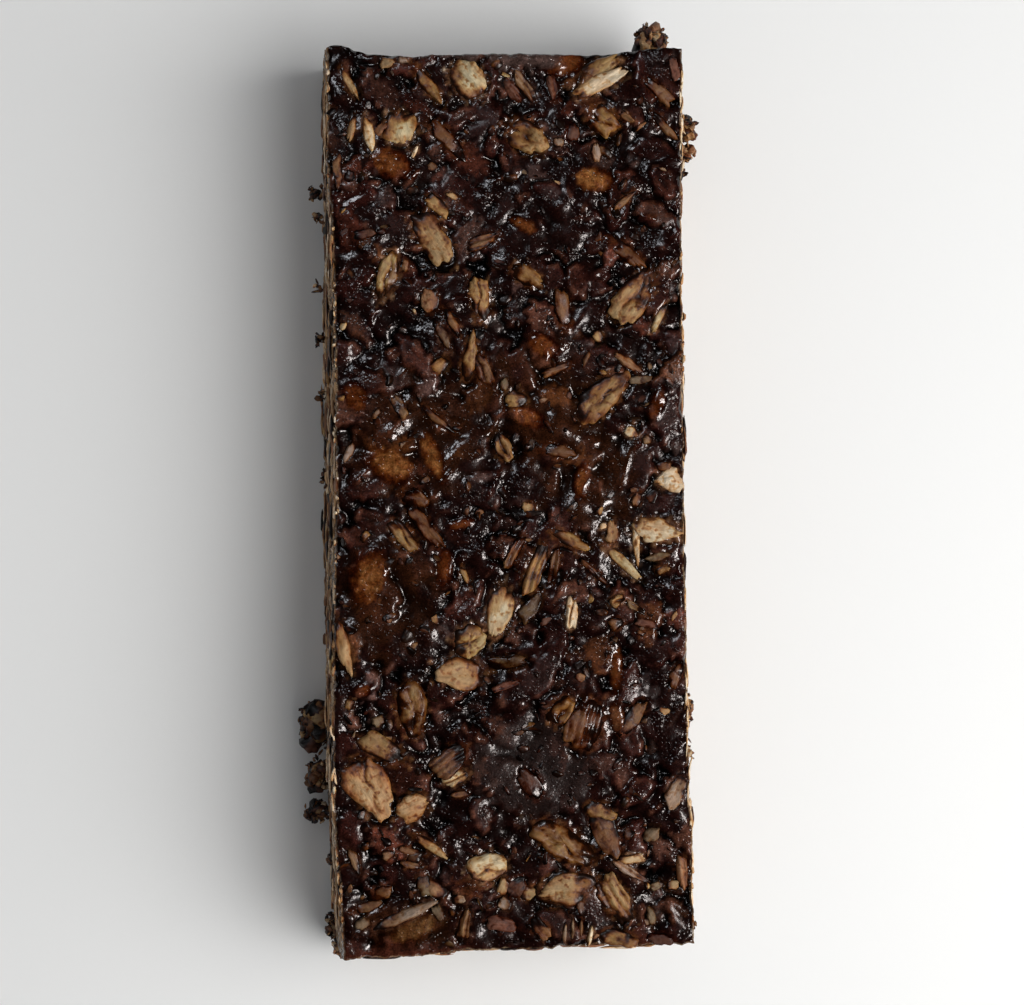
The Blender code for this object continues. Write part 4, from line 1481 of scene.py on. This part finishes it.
def flake_relief(pattern, dice, along, across, length, width, form):
    """A flake's bend, its skin's height above that, and how deep in a crease each point is."""
    groove_at = dice.uniform(-0.12, 0.12) * width + dice.normal(0, 0.06) * along
    groove_at = groove_at + 0.07 * width * np.sin(along * dice.uniform(1.2, 2.4) + any_angle(dice))
    crease = np.zeros_like(along)
    bend = dice.normal(0, 0.012) * along**2 + dice.uniform(-0.02, 0.05) * across**2
    waves = 0.07 * np.sin(along * dice.uniform(1.0, 2.2) + any_angle(dice))
    skewed = across * dice.uniform(1.8, 3.6) + along * dice.normal(0, 0.8)
    waves += 0.07 * np.sin(skewed + any_angle(dice))
    lip_way = any_angle(dice)
    lip = ramp(-0.2, 0.9, np.cos(pattern.angle - lip_way)) * hump(pattern.reach, 0.86, 0.13)
    skin = waves + dice.uniform(0.0, 0.2) * min(width / 3.0, 1.0) * lip
    if form == "crease":
        crease = hump(across, groove_at, 0.02 * width + 0.07)
        crease = crease * ramp(0.55, 0.2, np.abs(along / length + 0.06))
        branch_at = dice.uniform(-0.2, 0.2) * length
        branch = hump(along - branch_at, 0.6 * (across - groove_at), 0.13)
        branch = branch * ramp(0.42 * width, 0.1 * width, np.abs(across - groove_at))
        crease = np.maximum(crease, dice.uniform(0.2, 0.8) * branch)
        cheeks = hump(np.abs(across - groove_at), 0.2 * width, 0.14 * width)
        skin = skin - 0.24 * crease + 0.1 * cheeks
    elif form == "shell":
        reach = np.hypot(2.0 * along / length, 2.0 * (across - groove_at) / width)
        crease = np.clip(hump(reach, 0.0, 0.3) + 0.8 * hump(across, groove_at, 0.14)
                         * ramp(0.5, 0.2, np.abs(along) / length), 0, 1)
        skin = skin - 0.4 * crease + 0.2 * hump(reach, 0.72, 0.2)
    elif form == "fluted":
        flutes = np.cos(2 * math.pi * across / dice.uniform(0.8, 1.15) + any_angle(dice)
                        + 0.9 * np.sin(along * dice.uniform(0.5, 1.0) + any_angle(dice)))
        skin = skin + 0.12 * flutes
        crease = ramp(0.3, 1.0, -flutes) * 0.5
    elif form == "sliver":
        skin = skin + 0.1 * hump(across, groove_at, width * 0.25)
    return bend, skin, crease


def shape_flake(pattern, dice, length, width, thickness, form):
    """Points of one flake in its own frame, in mm, with the crease depth of each."""
    along, across = flake_outline(pattern, dice, length, width, form)
    bend, skin, crease = flake_relief(pattern, dice, along, across, length, width, form)
    thick = thickness * dice.uniform(0.8, 1.15)
    dome = np.sqrt(np.clip(1.0 - pattern.reach**9, 0.0, 1.0))
    body = np.clip(1.0 - pattern.reach**5, 0.0, 1.0)
    swell = dome_height(width) * (1.0 - pattern.reach**2)
    upper = 0.5 * thick * dome + swell + skin * body
    up = bend + np.where(pattern.under, -0.5 * thick * dome, upper)
    return np.stack([along, across, up], axis=1), crease * ~pattern.under


def tint_flake(pattern, dice, points, crease, tone, syrup, side):
    """Bare colour of each point, and how thick the syrup is there."""
    along, across = points[:, 0], points[:, 1]
    reach = pattern.reach
    size = max(np.abs(along).max(), 0.1)
    lean = toward(along, across, side) / size
    drift = 0.25 * np.sin(along * dice.uniform(1.5, 3.0) + any_angle(dice))
    drift = drift * np.cos(across * dice.uniform(1.5, 3.0) + any_angle(dice))
    cover = max(syrup - 0.6, 0.0) + 2.6 * min(syrup, 1.0) * np.clip(1.2 * (lean + drift), 0.0, 1.4)
    rim = 2.0 * ramp(0.6, 1.0, reach) * ramp(-0.5, 0.5, lean + drift) * ramp(0.0, 0.6, syrup)
    rim = rim + (0.8 * ramp(0.5, 1.0, reach + 0.5 * drift) * min(0.3 + syrup, 1.0)
                 * ramp(-0.9, 0.3, lean + drift))
    tone = np.array(tone) * mix(1.0, DAMP, min(syrup, 1.0)) * dice.uniform(0.88, 1.15)
    wave = np.sin(along * dice.uniform(0.8, 1.8) + any_angle(dice))
    wave = wave * np.sin(across * dice.uniform(1.2, 2.4) + any_angle(dice))
    toasted = dice.uniform(0.45, 1.0) * ramp(-0.3, 0.8, 0.45 * reach + 0.8 * wave)
    colour = tone * (1.05 + 0.24 * wave[:, None])
    colour = mix(colour, colour * TOASTED, toasted[:, None])
    thickness = cover + rim + 1.3 * crease + 2.0 * pattern.under
    return colour, thickness


# Radius and middle of a flake's top and of its underside in its own cell of the map
TOP_DISC, UNDER_DISC = (0.38, 0.4), (0.1, 0.89)


class FlakeBatch:
    """Collects flakes of one kind into a single mesh."""

    def __init__(self, pattern):
        self.pattern = pattern
        self.points, self.tints, self.syrups, self.fibres = [], [], [], []

    def add(self, dice, flake_points, crease, tone, syrup, side, place):
        """Add one flake; place turns its own points into the bar's."""
        tint, thickness = tint_flake(self.pattern, dice, flake_points, crease, tone, syrup, side)
        self.fibres.append(flake_points + dice.uniform(-400, 400, 3))
        self.points.append(place(flake_points))
        self.tints.append(tint)
        self.syrups.append(thickness)

    def build(self, name, material):
        """Join the flakes. Each has its own cell in the map: its top, and a small one for below."""
        pattern, count = self.pattern, len(self.points)
        stride = len(pattern.reach)
        starts = np.arange(count) * stride
        quads = (pattern.quads[None] + starts[:, None, None]).reshape(-1, 4)
        fans = (pattern.fans[None] + starts[:, None, None]).reshape(-1, 3)
        across = math.ceil(math.sqrt(count))
        cell = 1.0 / across
        number = np.arange(count)
        low = np.stack([number % across, number // across], axis=1) * cell
        disc = pattern.reach[:, None] * np.stack([np.cos(pattern.angle), np.sin(pattern.angle)], 1)
        above = np.arange(stride) <= pattern.rings * pattern.spokes

        def places(faces):
            is_top = above[faces].all(axis=1)[:, None, None]
            spot = disc[faces] * np.where(is_top, TOP_DISC[0], UNDER_DISC[0])
            spot = spot + np.where(is_top, TOP_DISC[1], UNDER_DISC[1])
            return (low[:, None, None, :] + spot[None] * cell).reshape(-1, faces.shape[1], 2)

        values = {"tint": np.concatenate(self.tints), "syrup": np.concatenate(self.syrups),
                  "fibre": np.concatenate(self.fibres)}
        return make_piece(name, np.concatenate(self.points), [quads, fans],
                          [places(pattern.quads), places(pattern.fans)], values, material)


def seated(x, y, turn, height, level, slope_x=0.0, slope_y=0.0):
    """A function that turns a flake's points and lays them on a sloping seat."""
    def place(points):
        east, north = turned(points[:, 0], points[:, 1], turn)
        up = height + level + slope_x * east + slope_y * north + points[:, 2]
        return np.stack([east + x, north + y, up], axis=1)

    return place


def pinned(centre, along, up, out):
    """A function that stands a flake's points on a side: along, up and out are its directions."""
    def place(points):
        return (centre + points[:, :1] * along + points[:, 1:2] * up + points[:, 2:] * out)

    return place


def build_top_flakes(scene):
    """The oats that show on the top, in three pieces by how they look."""
    _, seats, shape = SharedShape.get(scene)
    flakes = scene.granola_flakes
    dice = np.random.default_rng(61)
    thickness = flakes.thickness / MM
    large, small = FlakePattern(56, 11, 3), FlakePattern(36, 7, 2)
    batches = {"whole_oats": FlakeBatch(large), "syruped_oats": FlakeBatch(large),
               "oat_slivers": FlakeBatch(small)}
    for flake, seat in zip(TOP_FLAKES, seats):
        if seat is None:
            continue
        slim = flake.form == "sliver" or flake.length < 2.8
        name = "oat_slivers" if slim else "syruped_oats" if flake.syrup > 0.9 else "whole_oats"
        batch = batches[name]
        points, crease = shape_flake(
            batch.pattern, dice, flake.length, flake.width, thickness, flake.form)
        place = seated(flake.x, flake.y, math.radians(flake.turn), shape.height, *seat)
        batch.add(dice, points, crease, getattr(flakes, flake.tone), flake.syrup,
                  math.radians(flake.side - flake.turn), place)
    materials = {
        "whole_oats": oat_material("rolled_oat", 0.34, 1.0),
        "syruped_oats": oat_material("syrup_glazed_oat", 0.2, 0.5),
        "oat_slivers": oat_material("split_oat", 0.3, 0.7)}
    for name, batch in batches.items():
        batch.build(name, materials[name])


BIT_TONES = ("cream", "straw", "tan", "khaki", "rose", "russet")
BIT_SHARES = (0.08, 0.2, 0.27, 0.1, 0.15, 0.2)


def build_bits(scene):
    """Small broken flakes, bran and seeds, most of them dark with binder."""
    field, _, shape = SharedShape.get(scene)
    flakes = scene.granola_flakes
    dice = np.random.default_rng(71)
    batch = FlakeBatch(FlakePattern(16, 4, 1))
    while len(batch.points) < flakes.bits:
        x = dice.uniform(shape.left + 1.4, shape.right - 1.0)
        y = dice.uniform(shape.front + 1.2, shape.back - 1.4)
        if field.read(field.taken, x, y) > 0.3:
            continue
        length = dice.triangular(0.6, 1.0, 2.4)
        width = length * dice.uniform(0.35, 0.8)
        turn = dice.uniform(0, math.pi)
        points, crease = shape_flake(batch.pattern, dice, length, width, 0.3, "chip")
        lies_flat = dice.random() < 0.8
        tilt = dice.normal(0, 0.35) if lies_flat else dice.choice((-1, 1)) * dice.uniform(0.9, 1.4)
        tilted = np.stack([points[:, 0], *turned(points[:, 1], points[:, 2], tilt)], axis=1)
        level = float(field.read(field.height, x, y)) + 0.03
        syrup = dice.choice((0.6, 1.4, 2.1, 2.9), p=(0.07, 0.2, 0.33, 0.4)) * dice.uniform(0.7, 1.3)
        tone = getattr(flakes, dice.choice(BIT_TONES, p=BIT_SHARES))
        place = seated(x, y, turn, shape.height, level)
        batch.add(dice, points, crease, tone, syrup, any_angle(dice),
                  lambda _, moved=tilted, seat=place: seat(moved))
    batch.build("bran_and_bits", oat_material("bran_bits", 0.28, 0.6))


def side_spot(shape, column, row):
    """A point on a side with its directions along, up and out."""
    count = len(shape.edge)
    i, j = int(column) % count, int(np.clip(row, 1, len(shape.rings) - 2))
    centre = shape.rings[j, i]
    reach = 3  # points to each side, over which the small bumps even out
    along = shape.rings[j, (i + reach) % count] - shape.rings[j, i - reach]
    out = np.array([*shape.out[i], 0.0])
    along = along - out * (along @ out)
    along[2] = 0.0
    along /= np.linalg.norm(along)
    return centre, along, np.cross(out, along), out


def build_cut_oats(scene):
    """Oats sliced through by the knife on the three cut sides, as layered edges."""
    _, _, shape = SharedShape.get(scene)
    sides = scene.granola_sides
    tones = (sides.flesh, sides.pale, scene.granola_flakes.tan, sides.gap)
    shares = (0.36, 0.24, 0.2, 0.2)
    dice = np.random.default_rng(81)
    batch = FlakeBatch(FlakePattern(12, 2, 1))
    count, rows = len(shape.edge), len(shape.rings)
    while len(batch.points) < sides.cut_oats:
        column, row = dice.uniform(0, count), dice.uniform(1.5, rows - 2.5)
        centre, along, up, out = side_spot(shape, column, row)
        length = dice.triangular(1.2, 3.6, 7.5)
        if shape.wall[int(column) % count] > 0.2 or shape.to_corner(column) < 0.5 * length + 0.6:
            continue
        width = dice.triangular(0.3, 0.6, 1.4)
        if dice.random() < 0.12:
            length, width = length * 0.6, dice.uniform(1.2, 2.6)
        room = min(centre[2], shape.height + 0.3 - centre[2])
        width = min(width, 2 * room)
        along, up = turned(along, up, -dice.normal(0, 0.08))
        points, crease = shape_flake(batch.pattern, dice, length, width, 0.3, "flat")
        tone = tones[dice.choice(len(tones), p=shares)]
        syrup = dice.choice((0.0, 0.3, 0.8), p=(0.6, 0.28, 0.12))
        stands_out = dice.random() < 0.12
        shift = dice.uniform(0.1, 0.3) if stands_out else -dice.uniform(0.02, 0.14)
        batch.add(dice, points, crease, tone, syrup, any_angle(dice),
                  pinned(centre + out * shift, along, up, out))
    batch.build("cut_oat_edges", oat_material("knife_cut_oat", 0.45, 0.5))


# Broken oat edges along the rims of the long cuts, the pale ones partly torn oat and partly painted
# glints: side, from and to along the bar in mm, how many, how long in mm, and their colour
RIM_RUNS = (
    (-1, 28.0, 15.0, 16, 0.7, "pale"), (-1, 15.0, -14.0, 12, 0.7, "pale"),
    (-1, 55.5, 51.0, 8, 1.3, "pale"), (-1, 50.0, 28.0, 6, 0.9, "flesh"),
    (-1, -14.0, -22.0, 4, 1.6, "flesh"), (-1, -33.0, -38.5, 6, 2.2, "pale"),
    (-1, -27.8, -29.8, 3, 1.2, "pale"), (-1, -44.0, -48.5, 5, 1.6, "pale"),
    (-1, -48.0, -58.0, 6, 1.0, "flesh"), (1, 53.5, 41.5, 9, 2.6, "pale"),
    (1, -22.5, -45.0, 16, 2.8, "pale"), (1, 40.0, -22.0, 14, 1.1, "flesh"),
    (1, -46.0, -57.0, 4, 1.2, "flesh"),
)


def build_rim_slivers_and_glints(scene):
    """Thin edges of oats that the knife left along the rims of the long cuts; the pale ones are
    also painted glints.
    """
    _, _, shape = SharedShape.get(scene)
    dice = np.random.default_rng(85)
    batch = FlakeBatch(FlakePattern(12, 3, 1))
    rim = shape.rings[0]
    for way, start, stop, count, size, tone in RIM_RUNS:
        for _ in range(count):
            y = mix(start, stop, dice.random())
            column = np.argmin(np.abs(rim[:, 1] - y) + 9.0 * (shape.out[:, 0] * way < 0.8))
            length = size * dice.uniform(0.6, 1.35)
            points, crease = shape_flake(
                batch.pattern, dice, length, dice.uniform(0.25, 0.5), 0.22, "chip")
            slant, roll = dice.normal(0, 0.12), dice.uniform(0.2, 1.2)
            along = np.array([math.sin(slant), math.cos(slant), dice.normal(0, 0.15)])
            along /= np.linalg.norm(along)
            out = np.array([way * math.sin(roll), 0.0, math.cos(roll)])
            out -= along * (out @ along)
            out /= np.linalg.norm(out)
            shift = np.array([way * dice.uniform(-0.15, 0.12), 0.0, dice.uniform(-0.25, 0.1)])
            centre = rim[column] + shift
            colour = getattr(scene.granola_sides, tone)
            batch.add(dice, points, crease, colour, dice.uniform(0.0, 0.5), any_angle(dice),
                      pinned(centre, along, np.cross(out, along), out))
    batch.build("rim_slivers", oat_material("torn_oat_edge", 0.3, 0.4))


def build_pressed_oats(scene):
    """Oats pressed flat against the tray: under the base and at the tray-wall end."""
    _, _, shape = SharedShape.get(scene)
    flakes = scene.granola_flakes
    dice = np.random.default_rng(91)
    batch = FlakeBatch(FlakePattern(40, 6, 2))
    down = np.array([0.0, 0.0, -1.0])
    for _ in range(scene.granola_sides.base_oats):
        length = dice.triangular(2.5, 5.5, 8.2)
        width = length * dice.uniform(0.4, 0.62)
        x = dice.uniform(shape.left + 3.5, shape.right - 3.5)
        y = dice.uniform(shape.front + 4.0, shape.back - 4.0)
        turn = dice.uniform(0, 2 * math.pi)
        along = np.array([math.cos(turn), math.sin(turn), 0.0])
        points, crease = shape_flake(batch.pattern, dice, length, width, 0.5, "flat")
        points[:, 2] = np.minimum(points[:, 2], 0.2)
        centre = np.array([x, y, 0.2 + dice.uniform(0.0, 0.12)])
        tone = getattr(flakes, dice.choice(("straw", "tan", "khaki"), p=(0.5, 0.35, 0.15)))
        batch.add(dice, points, crease, tone, dice.uniform(0.3, 1.5), any_angle(dice),
                  pinned(centre, along, np.cross(down, along), down))
    walls = [column for column in np.flatnonzero(shape.wall > 0.95)
             if shape.to_corner(column) > 4.5]
    for _ in range(scene.granola_sides.base_oats // 3):
        column = dice.choice(walls)
        row = dice.uniform(8, len(shape.rings) - 9)
        centre, along, up, out = side_spot(shape, column, row)
        length = dice.triangular(2.5, 5.0, 7.5)
        along, up = turned(along, up, -dice.normal(0, 0.5))
        points, crease = shape_flake(batch.pattern, dice, length, length * 0.45, 0.5, "flat")
        tone = getattr(flakes, dice.choice(("straw", "tan", "khaki")))
        batch.add(dice, points, crease, tone, dice.uniform(0.7, 1.8), any_angle(dice),
                  pinned(centre - out * 0.1, along, up, out))
    batch.build("pressed_oats", oat_material("tray_pressed_oat", 0.3, 0.6))


# Crumbs that cling to the bar: middle, size across, along and up in mm, pale share, and lumps
CRUMBS = (
    ((-25.0, -29.4, 3.6), (5.0, 7.6, 4.6), 0.1, 26),
    ((-25.0, -35.9, 4.0), (3.8, 5.0, 3.8), 0.3, 18),
    ((-25.1, -40.9, 2.8), (4.4, 3.2, 2.8), 0.3, 14), ((-24.1, 40.6, 6.0), (2.4, 2.6, 2.0), 0.0, 7),
    ((-23.8, 37.2, 8.0), (1.2, 2.2, 1.4), 0.1, 3), ((-23.8, 21.5, 5.0), (1.4, 2.4, 1.6), 0.0, 4),
    ((-23.9, 28.0, 9.0), (1.0, 1.6, 1.2), 0.2, 2), ((-23.7, 13.8, 7.0), (1.2, 1.6, 1.2), 0.0, 3),
    ((-23.7, 3.0, 8.0), (0.9, 3.0, 1.2), 0.1, 3), ((-23.4, -47.5, 4.0), (1.0, 2.4, 1.6), 0.0, 4),
    ((-23.4, -56.0, 3.4), (2.6, 3.4, 3.4), 0.45, 14),
    ((-22.0, -58.6, 4.6), (2.8, 3.2, 4.4), 0.5, 14), ((19.8, 59.5, 11.0), (4.6, 4.6, 5.4), 0.6, 22),
    ((24.8, 48.8, 6.5), (3.2, 4.4, 3.4), 0.4, 13), ((24.9, 45.6, 6.5), (2.2, 3.2, 2.2), 0.9, 7),
    ((23.6, 42.6, 9.0), (1.4, 1.8, 1.4), 0.1, 4),
    ((22.6, -27.2, 15.5), (1.4, 5.6, 1.8), 0.5, 6), ((22.6, -32.7, 15.0), (1.0, 3.6, 1.6), 1.0, 4),
    ((23.1, -55.8, 12.0), (2.6, 1.0, 1.2), 0.6, 3),
    ((-22.6, -28.5, 18.6), (0.7, 1.1, 0.7), 1.0, 3),
)


# How long, wide and thick the shards of oat in a crumb are, in mm
SHARD_LIMITS = ((0.4, 1.3), (0.3, 0.8), (0.15, 0.4))


def random_turn(dice):
    """A random turn of space."""
    spin, _ = np.linalg.qr(dice.normal(0, 1, (3, 3)))
    return spin * np.sign(np.linalg.det(spin))


def lumpy(pattern, dice, size):
    """Points of a craggy lump of that size, made from the flake pattern's rings."""
    polar = pattern.reach * math.pi / 2
    polar = np.where(pattern.under, math.pi - polar, polar)
    flat, angle = np.sin(polar), pattern.angle
    ball = np.stack([flat * np.cos(angle), flat * np.sin(angle), np.cos(polar)], axis=1)
    crag = np.zeros(len(ball))
    for _ in range(10):
        way = dice.normal(0, 1, 3)
        crag += 0.09 * np.cos(ball @ (way * dice.uniform(2.0, 5.0)) + any_angle(dice))
    return ball * (1.0 + crag[:, None]) * np.array(size) / 2


def build_crumbs(scene):
    """Broken-off crumbs that cling to the sides: dark craggy lumps with shards of oat."""
    flakes = scene.granola_flakes
    dice = np.random.default_rng(101)
    batch = FlakeBatch(FlakePattern(14, 4, 3))
    for middle, size, pale, lumps in CRUMBS:
        spread = np.array(size)
        for number in range(3 * lumps):
            is_body = number < lumps
            is_pale = dice.random() < pale
            way = dice.normal(0, 1, 3)
            way /= np.linalg.norm(way)
            if is_body:
                offset = 0.34 * spread * way * dice.random() ** 0.5
                own = spread.mean() * dice.uniform(0.26, 0.52) * dice.uniform(0.7, 1.2, 3)
            else:
                offset = 0.46 * spread * way * dice.uniform(0.8, 1.05)
                own = np.array([dice.uniform(*limits) for limits in SHARD_LIMITS])
            points = lumpy(batch.pattern, dice, own) @ random_turn(dice)
            names = ("cream", "straw", "tan") if is_pale else ("tan", "straw", "russet")
            tone = getattr(flakes, dice.choice(names))
            syrup = dice.uniform(0.0, 0.3) if is_pale else dice.uniform(0.2, 1.0)
            centre = np.array(middle) + offset
            centre[2] = max(centre[2], own.max() * 0.5 + 0.1)
            batch.add(dice, points, np.zeros(len(points)), tone, syrup, any_angle(dice),
                      lambda flat, centre=centre: flat + centre)
    batch.build("clinging_crumbs", oat_material("broken_off_mix", 0.5, 1.2))


# ---------------- stage

# The lights: where they hang from the bar's middle, their width and length in metres, the power
# setting and how much of it they have, their colour, and whether the syrup mirrors them
LIGHTS = (
    ("key_softbox", (0.28, -0.10, 0.30), (0.50, 0.60), "key_power", 1.0,
     (1.0, 0.995, 0.985), False),
    ("glint_softbox", (0.34, -0.10, 0.52), (0.13, 0.11), "glint_power", 1.0,
     (1.0, 0.92, 0.89), True),
    ("cool_softbox", (-0.16, 0.26, 0.52), (0.11, 0.10), "glint_power", 0.36,
     (0.9, 0.93, 1.0), True),
)


def build_stage(scene):
    """A pale floor, a large soft light, two small ones that the syrup mirrors, and a camera."""
    stage, sizes = scene.granola_stage, scene.granola_sizes
    half = 6.0  # metres, wide enough that its edges stay out of view
    corners = [(-half, -half, 0), (half, -half, 0), (half, half, 0), (-half, half, 0)]
    mesh = bpy.data.meshes.new("card_floor")
    mesh.from_pydata(corners, [], [(0, 1, 2, 3)])
    mesh.materials.append(card_material(tuple(stage.floor)))
    floor = bpy.data.objects.new("card_floor", mesh)
    scene.collection.objects.link(floor)

    middle = np.array([0.0, 0.0, sizes.height])
    for name, offset, size, power, share, colour, mirrored in LIGHTS:
        data = bpy.data.lights.new(name, "AREA")
        data.shape, data.energy, data.color = "ELLIPSE", share * getattr(stage, power), colour
        data.size, data.size_y = size
        lamp = bpy.data.objects.new(name, data)
        lamp.location = middle + offset
        aim(lamp, middle)
        lamp.visible_glossy, lamp.visible_diffuse = mirrored, not mirrored
        scene.collection.objects.link(lamp)
    make_room(scene, stage.sky)
    scene.view_settings.view_transform = "Standard"

    data = bpy.data.cameras.new("top_camera")
    data.lens = stage.lens
    data.clip_start, data.clip_end = 0.01, 50.0
    camera = bpy.data.objects.new("top_camera", data)
    toward = np.array([-math.sin(stage.tilt), 0.0, math.cos(stage.tilt)])
    camera.location = middle + toward * stage.distance
    camera.rotation_mode = "XYZ"
    camera.rotation_euler = (0.0, -stage.tilt, -stage.roll)
    scene.collection.objects.link(camera)
    bpy.context.scene.camera = camera


def make_room(scene, strength):
    """Even soft light from all round, too weak and wide for the syrup to mirror."""
    world = bpy.data.worlds.new("soft_room")
    world.use_nodes = True
    background = world.node_tree.nodes["Background"]
    background.inputs["Color"].default_value = (0.95, 0.97, 1.0, 1.0)
    background.inputs["Strength"].default_value = strength
    world.cycles_visibility.glossy = False
    scene.world = world


def aim(thing, target):
    """Turn a lamp so that it shines at a point."""
    way = Vector(target) - thing.location
    thing.rotation_euler = way.to_track_quat("-Z", "Y").to_euler()


# ---------------- operators

class GRANOLA_OT_crust(bpy.types.Operator):
    """Build the crust and the core under it"""

    bl_idname = "granola.crust"
    bl_label = "Crust and core"

    def execute(self, context):
        material = binder_material()
        build_crust(context.scene, material)
        build_core(context.scene, material)
        return {"FINISHED"}


class GRANOLA_OT_top_flakes(bpy.types.Operator):
    """Lay the oats that show on the top"""

    bl_idname = "granola.top_flakes"
    bl_label = "Top oats"

    def execute(self, context):
        build_top_flakes(context.scene)
        return {"FINISHED"}


class GRANOLA_OT_bits(bpy.types.Operator):
    """Scatter bran, seeds and broken flakes over the top"""

    bl_idname = "granola.bits"
    bl_label = "Bits"

    def execute(self, context):
        build_bits(context.scene)
        return {"FINISHED"}


class GRANOLA_OT_cut_oats(bpy.types.Operator):
    """Add the sliced oats that show at the cuts"""

    bl_idname = "granola.cut_oats"
    bl_label = "Cut oats"

    def execute(self, context):
        build_cut_oats(context.scene)
        return {"FINISHED"}


class GRANOLA_OT_rim_bits(bpy.types.Operator):
    """Set the broken edges along the rims, the pale ones partly painted glints"""

    bl_idname = "granola.rim_bits"
    bl_label = "Rim slivers"

    def execute(self, context):
        build_rim_slivers_and_glints(context.scene)
        return {"FINISHED"}


class GRANOLA_OT_pressed_oats(bpy.types.Operator):
    """Add the oats pressed against the tray"""

    bl_idname = "granola.pressed_oats"
    bl_label = "Pressed oats"

    def execute(self, context):
        build_pressed_oats(context.scene)
        return {"FINISHED"}


class GRANOLA_OT_crumbs(bpy.types.Operator):
    """Stick the broken-off crumbs to the sides"""

    bl_idname = "granola.crumbs"
    bl_label = "Crumbs"

    def execute(self, context):
        build_crumbs(context.scene)
        return {"FINISHED"}


class GRANOLA_OT_stage(bpy.types.Operator):
    """Set up the floor, lights and camera"""

    bl_idname = "granola.stage"
    bl_label = "Stage"

    def execute(self, context):
        build_stage(context.scene)
        return {"FINISHED"}


OPERATORS = (
    GRANOLA_OT_crust, GRANOLA_OT_top_flakes, GRANOLA_OT_bits, GRANOLA_OT_cut_oats,
    GRANOLA_OT_rim_bits, GRANOLA_OT_pressed_oats, GRANOLA_OT_crumbs, GRANOLA_OT_stage,
)


class GRANOLA_PT_panel(bpy.types.Panel):
    """Lists the pieces of the bar"""

    bl_idname = "GRANOLA_PT_panel"
    bl_label = "Granola Bar"
    bl_space_type = "VIEW_3D"
    bl_region_type = "UI"
    bl_category = "Granola Bar"

    def draw(self, context):
        for operator in OPERATORS:
            self.layout.operator(operator.bl_idname)
        for name, group in SETTINGS.items():
            box = self.layout.box()
            box.label(text=group.__name__)
            for setting in group.__annotations__:
                box.prop(getattr(context.scene, name), setting)


def register():
    """Register the settings, operators and panel."""
    for name, group in SETTINGS.items():
        bpy.utils.register_class(group)
        setattr(bpy.types.Scene, name, bpy.props.PointerProperty(type=group))
    for made in (*OPERATORS, GRANOLA_PT_panel):
        bpy.utils.register_class(made)


def unregister():
    """Remove them again."""
    for made in reversed((*OPERATORS, GRANOLA_PT_panel)):
        bpy.utils.unregister_class(made)
    for name, group in SETTINGS.items():
        delattr(bpy.types.Scene, name)
        bpy.utils.unregister_class(group)


def main():
    """Build every piece in turn."""
    register()
    for operator in OPERATORS:
        group, name = operator.bl_idname.split(".")
        getattr(getattr(bpy.ops, group), name)()


if __name__ == "__main__":
    main()
